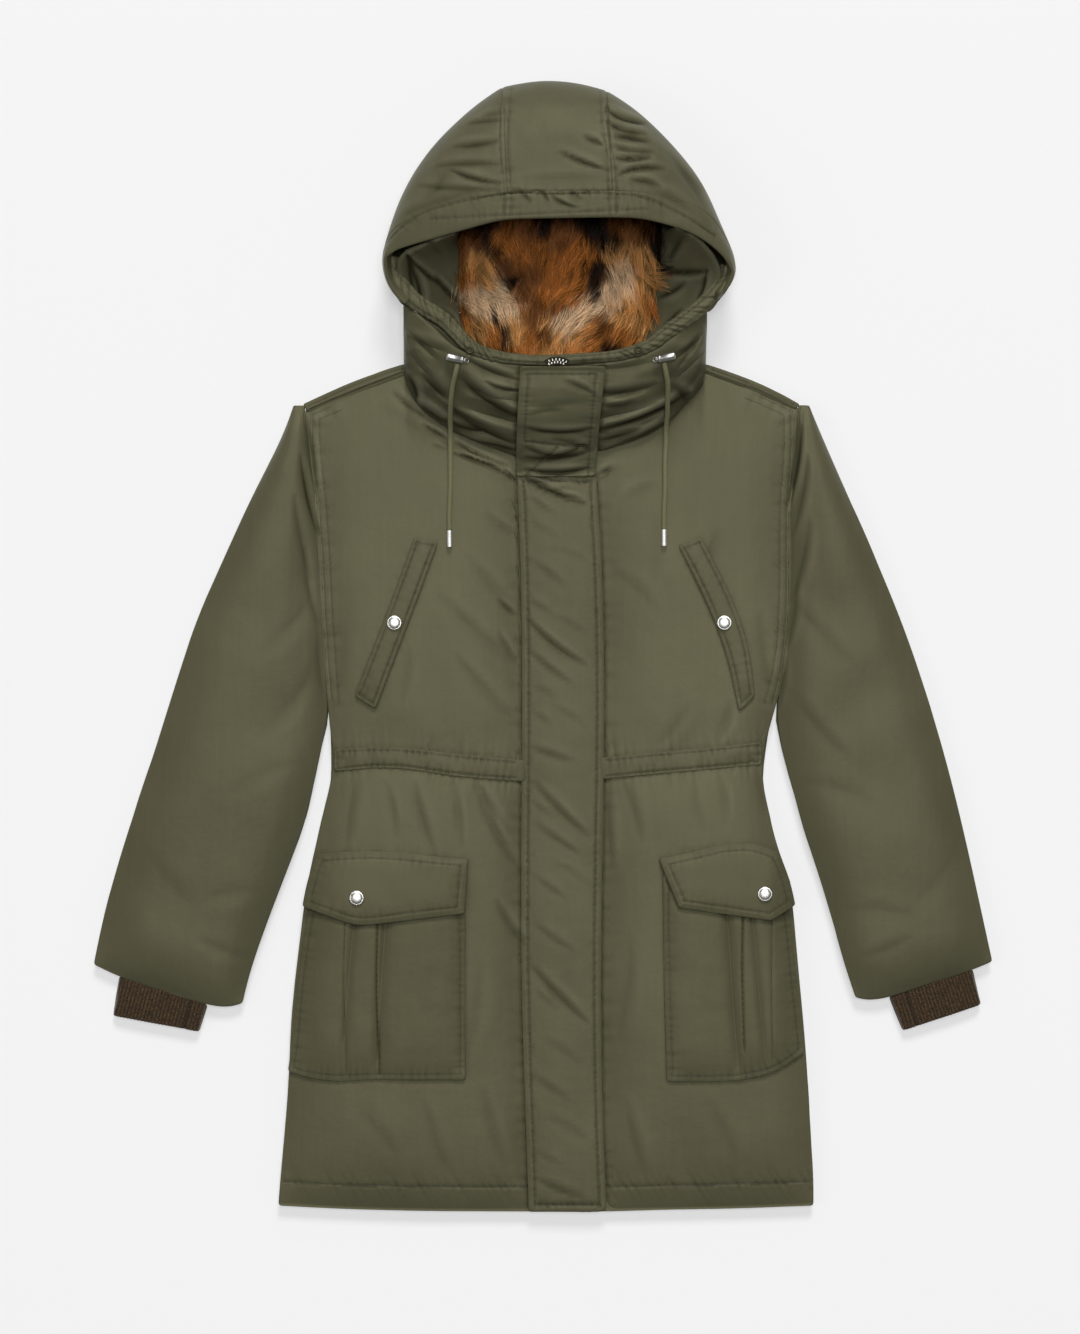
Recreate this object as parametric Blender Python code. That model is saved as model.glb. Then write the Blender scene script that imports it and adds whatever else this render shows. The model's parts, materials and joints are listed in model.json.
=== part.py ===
"""Padded hooded parka, laid out flat on its back.

X runs across the garment, +Y towards the hood and +Z up from the surface that it lies on.
Left and right are as seen from above with the hood at the top. Sizes are in millimetres.
The lower layer (back, collar back, under sleeves) rests on the surface with a flat underside;
the fronts and top sleeves lie on it; trims lie on the fronts; the hood and collar stand up.
"""

import math

import bmesh
import bpy
import numpy as np
from mathutils import Vector
from mathutils.bvhtree import BVHTree

# ---- driving dimensions, mm ----
MM = 0.001
SEAM_GAP = 0.3          # between neighbouring pieces
ARMHOLE_GAP = 0.9       # between sleeve and body, whose edges are faceted differently
LOWER_LAYER = 8.0       # padded cloth of the back and the under sleeves
TOP_FLOOR = LOWER_LAYER + SEAM_GAP
GROUND_INSET = 3.0      # how far a lower edge tucks in where it meets the surface
SEAM_HEIGHT = 14.0      # top of the padded cloth at a seam or an edge
BODY_LOFT = 9.0         # how much higher the middle of a front stands
SLEEVE_LOFT = 13.0
FLY_HEIGHT = 12.0       # thin front edges under the placket
PLACKET_EDGE = 3.5      # thickness of the placket at its edges
PLACKET_LOFT = 2.5
ZIP_LINE = 15.0         # X where the two fronts meet
DRAPE_GAP = 0.8         # lift of a trim off the faceted cloth below it
HOOD_WALL = 7.0
HOOD_FLOOR = 7.0
LINING_WALL = 2.5
LINING_REACH = 5.0      # from the collar's top edge into the opening
LINING_TOP = 44.0       # height where the lining leaves the collar
LINING_FOOT = 12.8      # height where it meets the fur
LINING_SAG = 1.3        # above 1 the slope is steep at the rim and flat at the fur
TUNNEL_WIDTH = 25.0     # drawcord tunnel round the face opening
CROWN_BULGE = 5.0
REST_PART = 0.2         # part of the tucked-under hood wall that lies flat
COLLAR_WALL = 12.0
COLLAR_HEIGHT = 58.0
COLLAR_SEAM = 17.0      # collar height at the neck seam
COLLAR_SIDE = 0.72      # height of the collar's side edge as a part of its full height
FUR_REACH = 29.0
FUR_EDGE = 4.0
FUR_CLEAR = 2.5         # from the fur's edge to the lining round it
CORD_RADIUS = 2.5
CORD_POINTS = 20
CORD_CLEAR = 0.9        # from the cord's square end to the round toggle
TIP_RADIUS = 2.9
TIP_LENGTH = 17.0
SNAP_RADIUS = 7.5
SNAP_HEIGHT = 3.0
TOGGLE_RADIUS = 4.2
TOGGLE_LENGTH = 21.0
EYELET_RADIUS = 4.5
EYELET_HOLE = 2.2

SHELL = (0.127, 0.116, 0.072)
LINING = (0.085, 0.095, 0.055)
FUR = (0.300, 0.170, 0.080)
RIB = (0.060, 0.044, 0.025)
SILVER = (0.800, 0.800, 0.790)
CORD = (0.095, 0.088, 0.048)


def table(columns, *rows):
    """A short table whose named columns are read as arrays."""
    return {name: np.array([row[i] for row in rows], float) for i, name in enumerate(columns.split())}


# ---- outlines: one row for each place where the edge changes ----

TORSO = table(
    "y     left   right",
    (-570, -268,  274),
    (-543, -266,  274),
    (-500, -262,  271),
    (-438, -257,  268),
    (-374, -255,  263),
    (-324, -249,  258),
    (-275, -243,  254),
    (-247, -240,  252),
    (-198, -228,  234),
    (-176, -223,  229),
    (-141, -216,  223),
    (-128, -210,  220),
    (-105, -213,  223),
    (-57,  -218,  238),
    (-26,  -221,  245),
    (25,   -224,  250),
    (69,   -226,  251),
    (146,  -231,  251),
    (197,  -237,  256),
    (242,  -243,  260),
)

PLACKET = table(
    "y     left  right",
    (-576, -14,  64),
    (-461, -18,  60),
    (-402, -20,  59),
    (127,  -24,  57),
    (171,  -26,  54),
)

HEM = table(
    "x     y",
    (-268, -570),
    (-211, -573),
    (-141, -575),
    (-14,  -576),
    (64,   -576),
    (134,  -574),
    (192,  -573),
    (274,  -570),
)

# Forward shoulder seam, and the shoulder fold that is the garment's outline.
SHOULDER = table(
    "left_x left_y fold_left_y right_x right_y fold_right_y",
    (-238,   236,   244,        255,    240,    244),
    (-187,   257,   269,        220,    256,    265),
    (-141,   275,   284,        165,    277,    284),
)

NECKLINE = table(
    "left_x left_y right_x right_y",
    (-141,   275,   165,    277),
    (-137,   262,   162,    264),
    (-130,   246,   144,    244),
    (-95,    219,   122,    221),
    (-24,    190,   57,     197),
)

SLEEVE_LEFT_OUTER = table(
    "x     y",
    (-456, -325),
    (-447, -281),
    (-424, -199),
    (-397, -118),
    (-378, -57),
    (-349, 30),
    (-322, 91),
    (-291, 159),
    (-263, 214),
    (-253, 242),
)

SLEEVE_LEFT_INNER = table(
    "x     y",
    (-307, -364),
    (-302, -342),
    (-274, -261),
    (-258, -220),
    (-243, -179),
    (-230, -118),
    (-218, -57),
)

SLEEVE_LEFT_HEM = table(
    "x     y",
    (-456, -325),
    (-431, -337),
    (-375, -355),
    (-348, -364),
    (-318, -368),
    (-307, -364),
)

SLEEVE_RIGHT_OUTER = table(
    "x    y",
    (456, -322),
    (447, -281),
    (429, -199),
    (409, -118),
    (391, -57),
    (368, 12),
    (345, 69),
    (316, 136),
    (289, 197),
    (270, 242),
)

SLEEVE_RIGHT_INNER = table(
    "x    y",
    (319, -358),
    (308, -322),
    (296, -281),
    (284, -240),
    (270, -199),
    (259, -159),
    (247, -118),
    (238, -57),
)

SLEEVE_RIGHT_HEM = table(
    "x    y",
    (456, -322),
    (437, -330),
    (387, -346),
    (354, -357),
    (331, -361),
    (319, -358),
)

CUFF = table(
    "left_x1 left_y1 left_x2 left_y2 right_x1 right_y1 right_x2 right_y2",
    (-431,   -339,   -343,   -368,   437,     -332,     354,     -359),
    (-434,   -358,   -347,   -381,   441,     -349,     360,     -376),
    (-437,   -377,   -351,   -393,   445,     -366,     367,     -392),
)
CUFF_HEIGHT = 12.0
CUFF_WALL = 5.4

# Hood sections, from the left end of the face opening round the visor to the right end: the rim of
# the opening, the widest place outside it, and where the cloth ends under the hood.
HOOD = table(
    "rim_x rim_y rim_z out_x out_y out_z rest_x rest_y",
    (-139,  344,  62,   -142, 347,  40,   -113,  340),
    (-153,  359,  66,   -156, 362,  42,   -113,  359),
    (-159,  379,  72,   -162, 385,  44,   -115,  380),
    (-156,  394,  78,   -159, 403,  46,   -113,  402),
    (-132,  402,  87,   -151, 432,  46,   -107,  427),
    (-103,  410,  93,   -135, 470,  46,   -99,   457),
    (-78,   417,  97,   -108, 509,  45,   -79,   487),
    (-55,   423,  100,  -74,  541,  43,   -56,   511),
    (-35,   427,  101,  -41,  565,  42,   -34,   528),
    (17,    428,  102,  13,   572,  42,   15,    536),
    (71,    429,  101,  64,   561,  42,   62,    528),
    (97,    428,  99,   99,   537,  43,   86,    511),
    (121,   423,  95,   133,  503,  45,   107,   487),
    (150,   414,  90,   161,  466,  46,   128,   457),
    (174,   399,  82,   178,  426,  46,   141,   427),
    (190,   381,  74,   194,  389,  44,   147,   400),
    (189,   364,  68,   192,  369,  42,   147,   376),
    (177,   350,  64,   180,  353,  41,   144,   356),
    (164,   338,  62,   168,  341,  40,   140,   340),
)
LEFT_SEAM = 8.0         # sections where the crown strip is sewn to the sides
RIGHT_SEAM = 10.0
LAST_SECTION = 18.0
SEAM_STEP = 0.012       # part of a section step that leaves the gap at a seam
LEFT_PLACES = np.linspace(0.0, LEFT_SEAM - SEAM_STEP, 13)
CENTRE_PLACES = np.linspace(LEFT_SEAM + SEAM_STEP, RIGHT_SEAM - SEAM_STEP, 5)
RIGHT_PLACES = np.linspace(RIGHT_SEAM + SEAM_STEP, LAST_SECTION, 13)
ALL_PLACES = np.concatenate([LEFT_PLACES, CENTRE_PLACES[1:-1], RIGHT_PLACES])
HOOD_BACK_CORNERS = ((-112.0, 339.0), (139.0, 339.0))
# Sections of the hood that the lining hangs from, down to the corner of the face opening, and how far
# inside and below the rim it starts, clear of the padded edge where the hood's wall falls steeply.
LINING_FROM = table(
    "left right inset drop",
    (5.5, 12.5, 2.0,  10.0),
    (4.8, 13.2, 3.0,  10.0),
    (4.1, 13.9, 8.0,  10.0),
    (3.4, 14.6, 11.5, 10.0),
    (2.6, 15.4, 13.5, 10.0),
    (1.8, 16.2, 14.5, 12.0),
    (1.0, 17.0, 15.0, 16.0),
    (0.3, 17.7, 14.0, 20.0),
)
OPENING_MIDDLE = np.array([15.0, 350.0])
# Edge of the fur that shows in the face opening, from the collar up to the hood's crown.
FUR_SIDES = table(
    "y    left  right",
    (284, -24,  72),
    (290, -29,  80),
    (303, -43,  93),
    (311, -64,  100),
    (326, -81,  107),
    (355, -84,  113),
    (390, -84,  118),
    (420, -85,  120),
    (450, -78,  112),
    (475, -66,  94),
    (500, -34,  62),
)
LINING_UNDER = 425.0    # Y of the fur's edge where the lining ends under the hood

# Top edge of the collar, where the hood's rim is sewn to it.
COLLAR_TOP = table(
    "left_x left_y right_x right_y",
    (-140,   343,   165,    337),
    (-130,   335,   152,    326),
    (-104,   313,   133,    311),
    (-88,    297,   112,    295),
    (-66,    288,   88,     287),
    (-20,    281,   62,     283),
    (15,     280,   15,     280),
)
# Section of the rim band on the collar's top edge: reach into the opening and height over the collar.
RIM = table(
    "reach rise",
    (0.6,  -1.0),
    (4.0,  1.0),
    (9.0,  -2.0),
    (13.0, -8.0),
)
RIM_WALL = 5.0
COLLAR_CORNER = {"left": (-140.3, 285.0), "right": (164.3, 285.0)}
# Soft folds across the collar: place up its height, drop towards the front, depth and width.
COLLAR_FOLDS = table(
    "at    drop   depth width",
    (0.22, -0.05, 4.0,  0.050),
    (0.44, -0.12, 5.0,  0.055),
    (0.68, -0.10, 4.0,  0.050),
    (0.86, 0.04,  2.5,  0.045),
)
# The largest folds of the fronts: troughs between two points.
FRONT_FOLDS = table(
    "x1    y1    x2    y2    depth width",
    (-30,  166,  -100, 205,  3.0,  14),
    (62,   178,  125,  205,  3.0,  14),
    (-32,  60,   -60,  150,  2.0,  18),
    (66,   80,   78,   -60,  2.0,  18),
    (-180, -80,  -150, -104, 2.5,  14),
    (190,  -60,  150,  -104, 2.5,  14),
    (-60,  -150, -75,  -205, 2.0,  16),
    (75,   -150, 95,   -200, 2.0,  16),
    (-60,  -460, -100, -530, 2.0,  20),
    (120,  -470, 150,  -540, 2.0,  20),
)
SLEEVE_FOLDS = table(
    "x1    y1    x2    y2    depth width",
    (-232, 170,  -245, 20,   4.0,  14),
    (-250, 20,   -330, 60,   3.0,  20),
    (-250, -70,  -330, -30,  4.0,  18),
    (-262, -140, -345, -105, 3.5,  18),
    (-300, -290, -400, -250, 3.0,  18),
    (262,  160,  280,  20,   3.0,  14),
    (275,  0,    345,  50,   3.0,  20),
    (268,  -90,  340,  -50,  4.0,  18),
    (290,  -170, 360,  -130, 3.5,  18),
    (320,  -290, 420,  -250, 3.0,  18),
)
PLACKET_FOLDS = table(
    "x1   y1    x2   y2    depth width",
    (-15, -138, 25,  -160, 2.0,  9),
    (-12, 60,   35,  30,   1.2,  9),
    (-10, -50,  40,  -75,  1.2,  9),
    (-12, -330, 22,  -358, 2.0,  9),
    (-8,  -450, 45,  -480, 1.5,  9),
)

CASING = table(
    "left_x top_left_y low_left_y right_x top_right_y low_right_y",
    (-211,  -108,      -128,      221,    -101,       -121),
    (-165,  -106,      -124,      165,    -107,       -126),
    (-77,   -114,      -134,      110,    -112,       -131),
    (-25,   -119,      -138,      61,     -117,       -136),
)

WELT = table(
    "left_x left_y left_x2 left_y2 right_x right_y right_x2 right_y2",
    (-190,  -52,    -171,   -64,    200,    -66,    214,     -52),
    (-172,  -5,     -152,   -15,    188,    -12,    207,     0),
    (-151,  50,     -130,   43,     164,    50,     187,     56),
    (-130,  107,    -108,   103,    139,    100,    160,     107),
)

POCKET_LEFT = table(
    "x     y",
    (-258, -433),
    (-253, -398),
    (-250, -360),
    (-245, -317),
    (-238, -272),
    (-228, -228),
)
POCKET_RIGHT = table(
    "x    y",
    (264, -414),
    (260, -374),
    (255, -330),
    (251, -280),
    (245, -250),
    (236, -226),
)
# Bellows pleats of the pockets: place across the bag from its outer side, depth and width.
PLEATS = table(
    "at    depth width",
    (0.30, 2.5,  0.022),
    (0.50, 4.0,  0.026),
)


# ---- curves and grids ----

def side(*columns):
    """A smooth curve through the rows, read by the fraction of its length."""
    knots = np.column_stack(columns)
    run = np.concatenate([[0.0], np.cumsum(np.linalg.norm(np.diff(knots, axis=0), axis=1))])
    slopes = np.gradient(knots, run, axis=0)
    dense = []
    for i in range(len(knots) - 1):
        span = run[i + 1] - run[i]
        for t in np.arange(0.0, 1.0, 0.1):
            h1 = 2 * t**3 - 3 * t**2 + 1
            h2 = t**3 - 2 * t**2 + t
            h3 = 3 * t**2 - 2 * t**3
            h4 = t**3 - t**2
            dense.append(h1 * knots[i] + h3 * knots[i + 1]
                         + span * (h2 * slopes[i] + h4 * slopes[i + 1]))
    dense = np.array(dense + [knots[-1]])
    length = np.concatenate([[0.0], np.cumsum(np.linalg.norm(np.diff(dense, axis=0), axis=1))])
    length = length / length[-1]

    def read(fractions):
        return np.column_stack([np.interp(fractions, length, dense[:, k]) for k in range(dense.shape[1])])

    return read


def between(rows, place):
    """A table's columns, smoothly read at a place between two of its rows."""
    knots = np.column_stack(rows)
    slopes = np.gradient(knots, axis=0)
    i = min(int(place), len(knots) - 2)
    t = place - i
    return ((2 * t**3 - 3 * t**2 + 1) * knots[i] + (t**3 - 2 * t**2 + t) * slopes[i]
            + (3 * t**2 - 2 * t**3) * knots[i + 1] + (t**3 - t**2) * slopes[i + 1])


def cornered(first, second, corner):
    """Two curves read one after the other, with their shared corner at the fraction `corner`."""
    def read(fractions):
        fractions = np.asarray(fractions, float)
        early = first(np.clip(fractions / corner, 0.0, 1.0))
        late = second(np.clip((fractions - corner) / (1.0 - corner), 0.0, 1.0))
        return np.where((fractions <= corner)[:, None], early, late)

    return read


def straight(start, end):
    return side([start[0], end[0]], [start[1], end[1]])


def patch(low, high, left, right, across, up):
    """Plan points of a panel between its four sides, a row for each step up it."""
    across = np.asarray(across, float)
    up = np.asarray(up, float)
    u = across[None, :, None]
    v = up[:, None, None]
    bottom = low(across)[None]
    top = high(across)[None]
    start = left(up)[:, None]
    end = right(up)[:, None]
    corners = ((1 - u) * (1 - v) * bottom[:, :1] + u * (1 - v) * bottom[:, -1:]
               + (1 - u) * v * top[:, :1] + u * v * top[:, -1:])
    return (1 - v) * bottom + v * top + (1 - u) * start + u * end - corners


def half_gap(which):
    """Half the gap between the left and the right piece, on this piece's side."""
    return -SEAM_GAP / 2 if which == "left" else SEAM_GAP / 2


def inward_of(line, which):
    """Directions into the face opening from a line that runs down a side to the middle."""
    along = np.gradient(line, axis=0)
    along /= np.linalg.norm(along, axis=1, keepdims=True)
    turn = 1 if which == "left" else -1
    return np.column_stack([-along[:, 1], along[:, 0]]) * turn


def swell(fractions, reach):
    """0 at both edges of a panel, rising in a soft shoulder to 1 within `reach` of them."""
    inward = np.clip(np.minimum(fractions, 1 - fractions) / reach, 0.0, 1.0)
    return 1 - (1 - inward) ** 2


def folds(plan, rows):
    """Depth of the soft troughs of a fold table at each plan point."""
    depth = np.zeros(plan.shape[:2])
    for x1, y1, x2, y2, deep, wide in zip(*rows.values()):
        along = np.array([x2 - x1, y2 - y1])
        part = ((plan - [x1, y1]) @ along) / (along @ along)
        nearest = np.array([x1, y1]) + np.clip(part, 0, 1)[..., None] * along
        away = np.linalg.norm(plan - nearest, axis=2)
        depth += deep * np.exp(-(away / wide) ** 2)
    return depth


# ---- solids ----

def finish(mesh, name, color, roughness, metallic, smooth):
    """Puts a closed mesh in the scene with its own material."""
    bmesh.ops.recalc_face_normals(mesh, faces=mesh.faces)
    data = bpy.data.meshes.new(name)
    mesh.to_mesh(data)
    mesh.free()
    if smooth:
        data.shade_smooth()
        data.set_sharp_from_angle(angle=math.radians(40))
    thing = bpy.data.objects.new(name, data)
    bpy.context.scene.collection.objects.link(thing)
    paint(thing, color, roughness, metallic)
    return thing


def paint(thing, color, roughness, metallic):
    material = bpy.data.materials.new(thing.name)
    material.use_nodes = True
    shader = material.node_tree.nodes["Principled BSDF"]
    shader.inputs["Base Color"].default_value = (*color, 1.0)
    shader.inputs["Roughness"].default_value = roughness
    shader.inputs["Metallic"].default_value = metallic
    thing.data.materials.append(material)


def border(rows, columns):
    """Grid places round the edge of a grid, in order."""
    ring = [(0, j) for j in range(columns)]
    ring += [(i, columns - 1) for i in range(1, rows)]
    ring += [(rows - 1, j) for j in range(columns - 2, -1, -1)]
    ring += [(i, 0) for i in range(rows - 2, 0, -1)]
    return ring


def grid_solid(name, upper, lower, color, roughness=0.55, metallic=0.0):
    """A closed panel between two grids of points; a flat underside is one face."""
    rows, columns = upper.shape[:2]
    mesh = bmesh.new()
    over = [[mesh.verts.new(upper[i, j] * MM) for j in range(columns)] for i in range(rows)]
    ring = border(rows, columns)
    is_flat = np.ptp(lower[..., 2]) < 1e-6
    if is_flat:
        under = {place: mesh.verts.new(lower[place] * MM) for place in ring}
        mesh.faces.new([under[place] for place in reversed(ring)])
    else:
        under = {(i, j): mesh.verts.new(lower[i, j] * MM) for i in range(rows) for j in range(columns)}
    for i in range(rows - 1):
        for j in range(columns - 1):
            mesh.faces.new([over[i][j], over[i][j + 1], over[i + 1][j + 1], over[i + 1][j]])
            if not is_flat:
                mesh.faces.new([under[i, j], under[i + 1, j], under[i + 1, j + 1], under[i, j + 1]])
    for (i, j), (k, m) in zip(ring, ring[1:] + ring[:1]):
        mesh.faces.new([over[i][j], under[i, j], under[k, m], over[k][m]])
    bmesh.ops.triangulate(mesh, faces=mesh.faces)
    return finish(mesh, name, color, roughness, metallic, smooth=False)


def panel(name, plan, heights, floors, color, roughness=0.55):
    """A panel over plan points, with the height of its top and its underside at each."""
    floors = np.broadcast_to(floors, plan.shape[:2])
    upper = np.dstack([plan, heights])
    lower = np.dstack([plan, floors])
    return grid_solid(name, upper, lower, color, roughness)


def slab(name, outline, thickness, color, tuck=GROUND_INSET):
    """A flat layer on the surface, its lower edge tucked in and its top edge eased."""
    count = len(outline)
    ahead = np.roll(outline, -1, axis=0) - np.roll(outline, 1, axis=0)
    inward = np.column_stack([-ahead[:, 1], ahead[:, 0]])
    inward /= np.linalg.norm(inward, axis=1, keepdims=True)
    turn = np.cross(outline, np.roll(outline, -1, axis=0)).sum()
    inward *= np.sign(turn)
    mesh = bmesh.new()
    rings = []
    for inset, height in ((tuck, 0.0), (SEAM_GAP / 2, thickness * 0.5), (SEAM_GAP, thickness)):
        placed = outline + inset * inward
        rings.append([mesh.verts.new(Vector((x, y, height)) * MM) for x, y in placed])
    mesh.faces.new(list(reversed(rings[0])))
    mesh.faces.new(rings[-1])
    for low, high in zip(rings, rings[1:]):
        for i in range(count):
            k = (i + 1) % count
            mesh.faces.new([low[i], low[k], high[k], high[i]])
    bmesh.ops.triangulate(mesh, faces=mesh.faces)
    return finish(mesh, name, color, 0.55, 0.0, smooth=False)


def surface_tree(*things):
    """The tops of solids that something else lies on."""
    mesh = bmesh.new()
    for thing in things:
        mesh.from_mesh(thing.data)
    tree = BVHTree.FromBMesh(mesh)
    mesh.free()
    return tree


def rest_heights(plan, tree, reach, fallback=TOP_FLOOR):
    """Height of what lies below each plan point, the highest within `reach` of it."""
    offsets = [(0.0, 0.0)]
    for radius in (reach / 2, reach):
        offsets += [(radius * math.cos(a), radius * math.sin(a)) for a in np.arange(8) * math.pi / 4]
    heights = np.full(plan.shape[:2], fallback)
    for place in np.ndindex(*plan.shape[:2]):
        for dx, dy in offsets:
            above = Vector((plan[place][0] + dx, plan[place][1] + dy, 500.0)) * MM
            hit = tree.ray_cast(above, Vector((0.0, 0.0, -1.0)))[0]
            if hit is not None:
                heights[place] = max(heights[place], hit.z / MM)
    return heights


def lying_panel(name, plan, across, up, tree, edge, loft, color, reach=4.0, relief=0.0):
    """A trim that lies on the cloth below it, `edge` thick at its sides and padded inside."""
    floors = rest_heights(plan, tree, reach) + DRAPE_GAP
    puff = swell(np.asarray(across), 0.2)[None, :] * swell(np.asarray(up), 0.2)[:, None]
    return panel(name, plan, floors + edge + loft * puff - relief, floors, color)


def turned(name, profile, center, axis, color, steps=20, roughness=0.25, metallic=1.0):
    """A round piece: (radius, height) pairs spun about an axis; the ends close on it."""
    mesh = bmesh.new()
    points = [Vector((radius, 0.0, height)) * MM for radius, height in profile]
    chain = [mesh.verts.new(point) for point in points]
    edges = [mesh.edges.new(pair) for pair in zip(chain, chain[1:])]
    bmesh.ops.spin(mesh, geom=chain + edges, cent=(0, 0, 0), axis=(0, 0, 1), angle=2 * math.pi,
                   steps=steps, use_merge=True)
    bmesh.ops.remove_doubles(mesh, verts=mesh.verts, dist=1e-6)
    thing = finish(mesh, name, color, roughness, metallic, smooth=True)
    thing.rotation_euler = Vector((0, 0, 1)).rotation_difference(Vector(axis)).to_euler()
    thing.location = Vector(center) * MM
    return thing


def flat_tube(name, near, far, height, wall, color):
    """A knitted tube pressed flat: rows across it from its near to its far end, open at both."""
    turns = np.radians([-90, -45, 0, 45, 90])
    mesh = bmesh.new()
    loops = {"outer": [], "inner": []}
    for start, end in zip(near, far):
        start = np.array(start, float)
        end = np.array(end, float)
        width = np.linalg.norm(end - start)
        along = (end - start) / width
        middle = (start + end) / 2
        for kind, inset in (("outer", 0.0), ("inner", wall)):
            radius = height / 2 - inset
            half = width / 2 - height / 2
            loop = []
            for sign, angles in ((1, turns), (-1, turns[::-1])):
                for angle in angles:
                    reach = sign * (half + radius * math.cos(angle))
                    x, y = middle + along * reach
                    loop.append(mesh.verts.new(Vector((x, y, height / 2 + radius * math.sin(angle))) * MM))
            loops[kind].append(loop)
    count = len(loops["outer"][0])
    for kind in loops:
        for first, second in zip(loops[kind], loops[kind][1:]):
            for i in range(count):
                k = (i + 1) % count
                mesh.faces.new([first[i], first[k], second[k], second[i]])
    for end in (0, -1):
        outer = loops["outer"][end]
        inner = loops["inner"][end]
        for i in range(count):
            k = (i + 1) % count
            mesh.faces.new([outer[i], outer[k], inner[k], inner[i]])
    bmesh.ops.triangulate(mesh, faces=mesh.faces)
    return finish(mesh, name, color, 0.9, 0.0, smooth=False)


# ---- lower layer ----

def torso_side(which):
    return side(TORSO[which], TORSO["y"])


def make_lower_layer():
    steps = np.linspace(0, 1, 16)
    few = np.linspace(0, 1, 5)
    hem = side(HEM["x"], HEM["y"])(np.linspace(0, 1, 10))
    fold_left = side([-243, -187, -141.5], SHOULDER["fold_left_y"])(few)
    fold_right = side([165, 220, 260], SHOULDER["fold_right_y"][::-1])(few)
    outline = np.concatenate([
        hem[:-1], torso_side("right")(steps)[:-1], fold_right[::-1],
        [[165, 262], [90, 257], [10, 255], [-66, 257], [-141.5, 262]],
        fold_left[::-1], torso_side("left")(steps)[::-1][1:-1]])
    slab("back_body", outline, LOWER_LAYER, SHELL)
    collar_outline = np.array([
        [-140.5, 263], [-66, 258], [10, 256], [90, 258], [164, 263], [164, 337], [138, 337],
        [15, 337], [-110, 337], [-140.5, 337]])
    slab("collar_back", collar_outline, LOWER_LAYER, SHELL)
    rest = np.array([hood_column(("rest_x", "rest_y"), place) for place in ALL_PLACES])
    middle = np.array([15.0, 420.0])
    toward = (middle - rest) / np.linalg.norm(middle - rest, axis=1, keepdims=True)
    inside = rest + toward * SEAM_GAP * 2
    inside[0] = HOOD_BACK_CORNERS[0]
    inside[-1] = HOOD_BACK_CORNERS[1]
    slab("hood_back", inside, HOOD_FLOOR, SHELL, tuck=SEAM_GAP / 2)
    for which in ("left", "right"):
        outer, inner, cuff_hem = sleeve_sides(which)
        ring = np.concatenate([cuff_hem(np.linspace(0, 1, 6))[:-1], inner(np.linspace(0, 1, 22)),
                               outer(np.linspace(0, 1, 14))[::-1][:-1]])
        slab("sleeve_under_" + which, ring, LOWER_LAYER, SHELL)


# ---- fronts and sleeves ----

# Columns of a front, from its side edge to the placket; the neck point is at NECK_CORNER.
NECK_CORNER = 0.43
FRONT_ACROSS = np.array([
    0.0, 0.04, 0.12, 0.22, 0.33, NECK_CORNER, 0.49, 0.55, 0.62, 0.7, 0.79, 0.89, 0.96, 1.0])


def shoulder_and_neck(which):
    """A front's upper edge: the shoulder seam, then the neckline."""
    shoulder = side(SHOULDER[which + "_x"], SHOULDER[which + "_y"])
    neck = side(NECKLINE[which + "_x"], NECKLINE[which + "_y"])
    return cornered(shoulder, neck, NECK_CORNER)


def sleeve_sides(which):
    outer_rows = SLEEVE_LEFT_OUTER if which == "left" else SLEEVE_RIGHT_OUTER
    inner_rows = SLEEVE_LEFT_INNER if which == "left" else SLEEVE_RIGHT_INNER
    hem_rows = SLEEVE_LEFT_HEM if which == "left" else SLEEVE_RIGHT_HEM
    outward = -ARMHOLE_GAP if which == "left" else ARMHOLE_GAP
    above = TORSO["y"] > -50
    inner_x = np.concatenate([inner_rows["x"], TORSO[which][above] + outward])
    inner_y = np.concatenate([inner_rows["y"], TORSO["y"][above]])
    outer = side(outer_rows["x"], outer_rows["y"])
    return outer, side(inner_x, inner_y), side(hem_rows["x"], hem_rows["y"])


def make_sleeves():
    for which in ("left", "right"):
        outer, inner, cuff_hem = sleeve_sides(which)
        shoulder_end = straight(outer([1.0])[0], inner([1.0])[0])
        across = np.array([0.0, 0.07, 0.18, 0.34, 0.5, 0.66, 0.82, 0.93, 1.0])
        up = np.array([0.0, 0.025, 0.07, 0.14, 0.21, 0.28, 0.35, 0.42, 0.49, 0.56, 0.63, 0.7,
                       0.77, 0.84, 0.91, 0.96, 1.0])
        plan = patch(cuff_hem, shoulder_end, outer, inner, across, up)
        puff = swell(across, 0.3)[None, :] * swell(up, 0.06)[:, None]
        heights = SEAM_HEIGHT - 2 + SLEEVE_LOFT * puff - folds(plan, SLEEVE_FOLDS) * puff
        panel("sleeve_top_" + which, plan, heights, TOP_FLOOR, SHELL)
        near = list(zip(CUFF[which + "_x1"], CUFF[which + "_y1"]))
        far = list(zip(CUFF[which + "_x2"], CUFF[which + "_y2"]))
        flat_tube("cuff_" + which, near, far, CUFF_HEIGHT, CUFF_WALL, RIB)


def placket_edge(which):
    """Where a front goes under the placket, from the hem up to the neckline."""
    return side(np.append(PLACKET[which], NECKLINE[which + "_x"][-1]),
                np.append(PLACKET["y"], NECKLINE[which + "_y"][-1]))


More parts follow.
